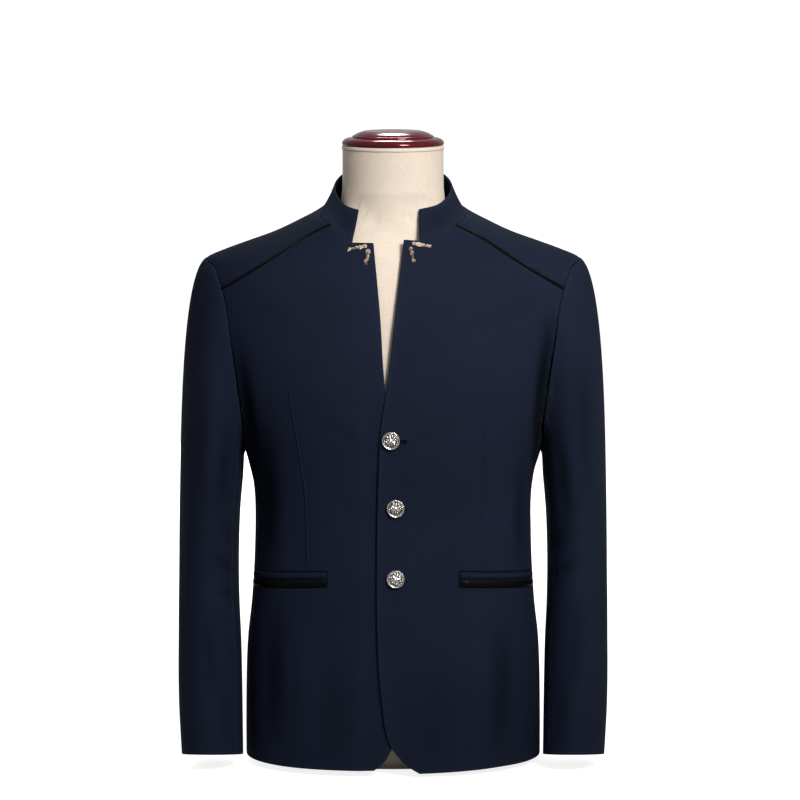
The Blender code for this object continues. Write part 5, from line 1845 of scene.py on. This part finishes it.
class JACKET_OT_trims(bpy.types.Operator):
    """Lays the piping, the pocket jets with their bar tacks, and the darts"""
    bl_idname = "jacket.trims"
    bl_label = "Piping, pockets and darts"

    def execute(self, context):
        MADE["stitches"] = stitch_tree()
        for side, lines in MADE["lines"].items():
            front = surface_of(MADE["front", side])
            both = surface_of(MADE["front", side], MADE["yoke", side])
            MADE["on_front", side] = front
            name = word(side)
            trims = [satin_piping(side, lines, both), dart_ridge(side, front)]
            trims.append(jet(f"pocket_jet_{name}_cloth", f"pocket_jet_{name}", side, 0.0,
                             "suit_cloth", front, False))
            trims.append(jet(f"pocket_satin_{name}_satin", f"pocket_satin_{name}", side, JET_STEP,
                             "satin", front, True))
            trims.append(bar_tacks(side, front))
            MADE["trims", side] = trims
        return {"FINISHED"}


class JACKET_OT_buttons(bpy.types.Operator):
    """Presses the buttons and works their buttonholes"""
    bl_idname = "jacket.buttons"
    bl_label = "Buttons and buttonholes"

    def execute(self, context):
        surface = MADE["on_front", 1]
        paths = []
        for number, (x, z) in enumerate(BUTTON_PLACES, start=1):
            MADE["trims", 1].append(metal_button(number, x, z, surface))
            start, end = x + BUTTONHOLE_START, x + BUTTONHOLE_ENDS[number - 1]
            middle = z + BUTTONHOLE_DROP
            for shift in (-BUTTONHOLE_HALF, BUTTONHOLE_HALF):
                line = [(start, middle + shift), (end, middle + shift)]
                paths.append(cloth_path(surface, line, 0.00025, 24))
            bar = [(end, middle - BUTTONHOLE_END_HALF), (end, middle + BUTTONHOLE_END_HALF)]
            paths.append(cloth_path(surface, bar, 0.0003, 6))
        made = grown("buttonholes", MADE["stitches"], paths, {
            "Step": sizes().stitch, "Length": 0.0022, "Thread": 0.0005, "Turn": math.pi / 2,
            "Unevenness": 0.10, "Seed": 2, "Finish": finish_of("navy_thread")})
        MADE["trims", 1].append(hand_in(made, None))
        return {"FINISHED"}


class JACKET_OT_sprays(bpy.types.Operator):
    """Embroiders the leaf sprays on the lapel corners"""
    bl_idname = "jacket.sprays"
    bl_label = "Leaf sprays"

    def execute(self, context):
        leaf = satin_leaf()
        tree = spray_tree()
        for number, (node, side, foot, tip) in enumerate(SPRAYS):
            surface = MADE["on_front", side]
            path = cloth_path(surface, [foot, tip], 0.0004, 16)
            made = grown(f"{node}_thread", tree, [path], {
                "Step": 0.0021, "Leaf": leaf, "Spread": 0.66, "Seed": 11 + number,
                "Tone": 0.10 if "across" in node else -0.35,
                "Finish": finish_of("embroidery")})
            stem = grown(f"{node}_stem", MADE["stitches"], [path], {
                "Step": 0.0012, "Length": 0.0017, "Thread": 0.00050, "Turn": 0.0,
                "Unevenness": 0.15, "Seed": 21 + number, "Finish": finish_of("embroidery")})
            MADE["trims", side] += [hand_in(made, node),
                                    hand_in(stem, None)]
        bpy.data.objects.remove(leaf, do_unlink=True)
        return {"FINISHED"}


class JACKET_OT_cut_sizes(bpy.types.Operator):
    """States the flat cut of every piece of cloth"""
    bl_idname = "jacket.cut_sizes"
    bl_label = "Cut sizes"

    def execute(self, context):
        for side in (1, -1):
            front, back, yoke = (MADE[part, side] for part in ("front", "back", "yoke"))
            cut_from_cloth(yoke)
            cut_from_cloth(back)
            cut_from_cloth(front)
            cut_from_cloth(MADE["side", side])
            for piece in MADE["sleeve", side]:
                cut_from_cloth(piece)
        cut_from_cloth(MADE["collar"])
        for name, (width, length, area) in CUT_SIZES.items():
            print(f"CUT {name} {width} x {length} area {area}")
        return {"FINISHED"}


class JACKET_OT_stage(bpy.types.Operator):
    """Lays the pale floor, hangs the lights and sets the camera"""
    bl_idname = "jacket.stage"
    bl_label = "Stage"

    def execute(self, context):
        pale_ground()
        studio_air()
        for light in LIGHTS:
            area_light(*light)
        front_camera()
        context.scene.view_settings.view_transform = "Standard"
        return {"FINISHED"}


STEPS = (JACKET_OT_finishes, JACKET_OT_form, JACKET_OT_panels, JACKET_OT_sleeves,
         JACKET_OT_collar, JACKET_OT_trims, JACKET_OT_buttons, JACKET_OT_sprays,
         JACKET_OT_cut_sizes, JACKET_OT_stage)


class JACKET_PT_panel(bpy.types.Panel):
    """Lists the jacket's sizes, colours and steps"""
    bl_label = "Jacket"
    bl_idname = "JACKET_PT_panel"
    bl_space_type = "VIEW_3D"
    bl_region_type = "UI"
    bl_category = "Jacket"

    def draw(self, context):
        for group in (context.scene.jacket_sizes, context.scene.jacket_colours):
            for name in group.__annotations__:
                self.layout.prop(group, name)
        for step in STEPS:
            self.layout.operator(step.bl_idname)


CLASSES = (JacketSizes, JacketColours, *STEPS, JACKET_PT_panel)


def register():
    for one in CLASSES:
        bpy.utils.register_class(one)
    bpy.types.Scene.jacket_sizes = PointerProperty(type=JacketSizes)
    bpy.types.Scene.jacket_colours = PointerProperty(type=JacketColours)


def unregister():
    del bpy.types.Scene.jacket_sizes
    del bpy.types.Scene.jacket_colours
    for one in reversed(CLASSES):
        bpy.utils.unregister_class(one)


def main():
    register()
    for name in ("finishes", "form", "panels", "sleeves", "collar", "trims", "buttons", "sprays",
                 "cut_sizes", "stage"):
        getattr(bpy.ops.jacket, name)()


if __name__ == "__main__":
    main()
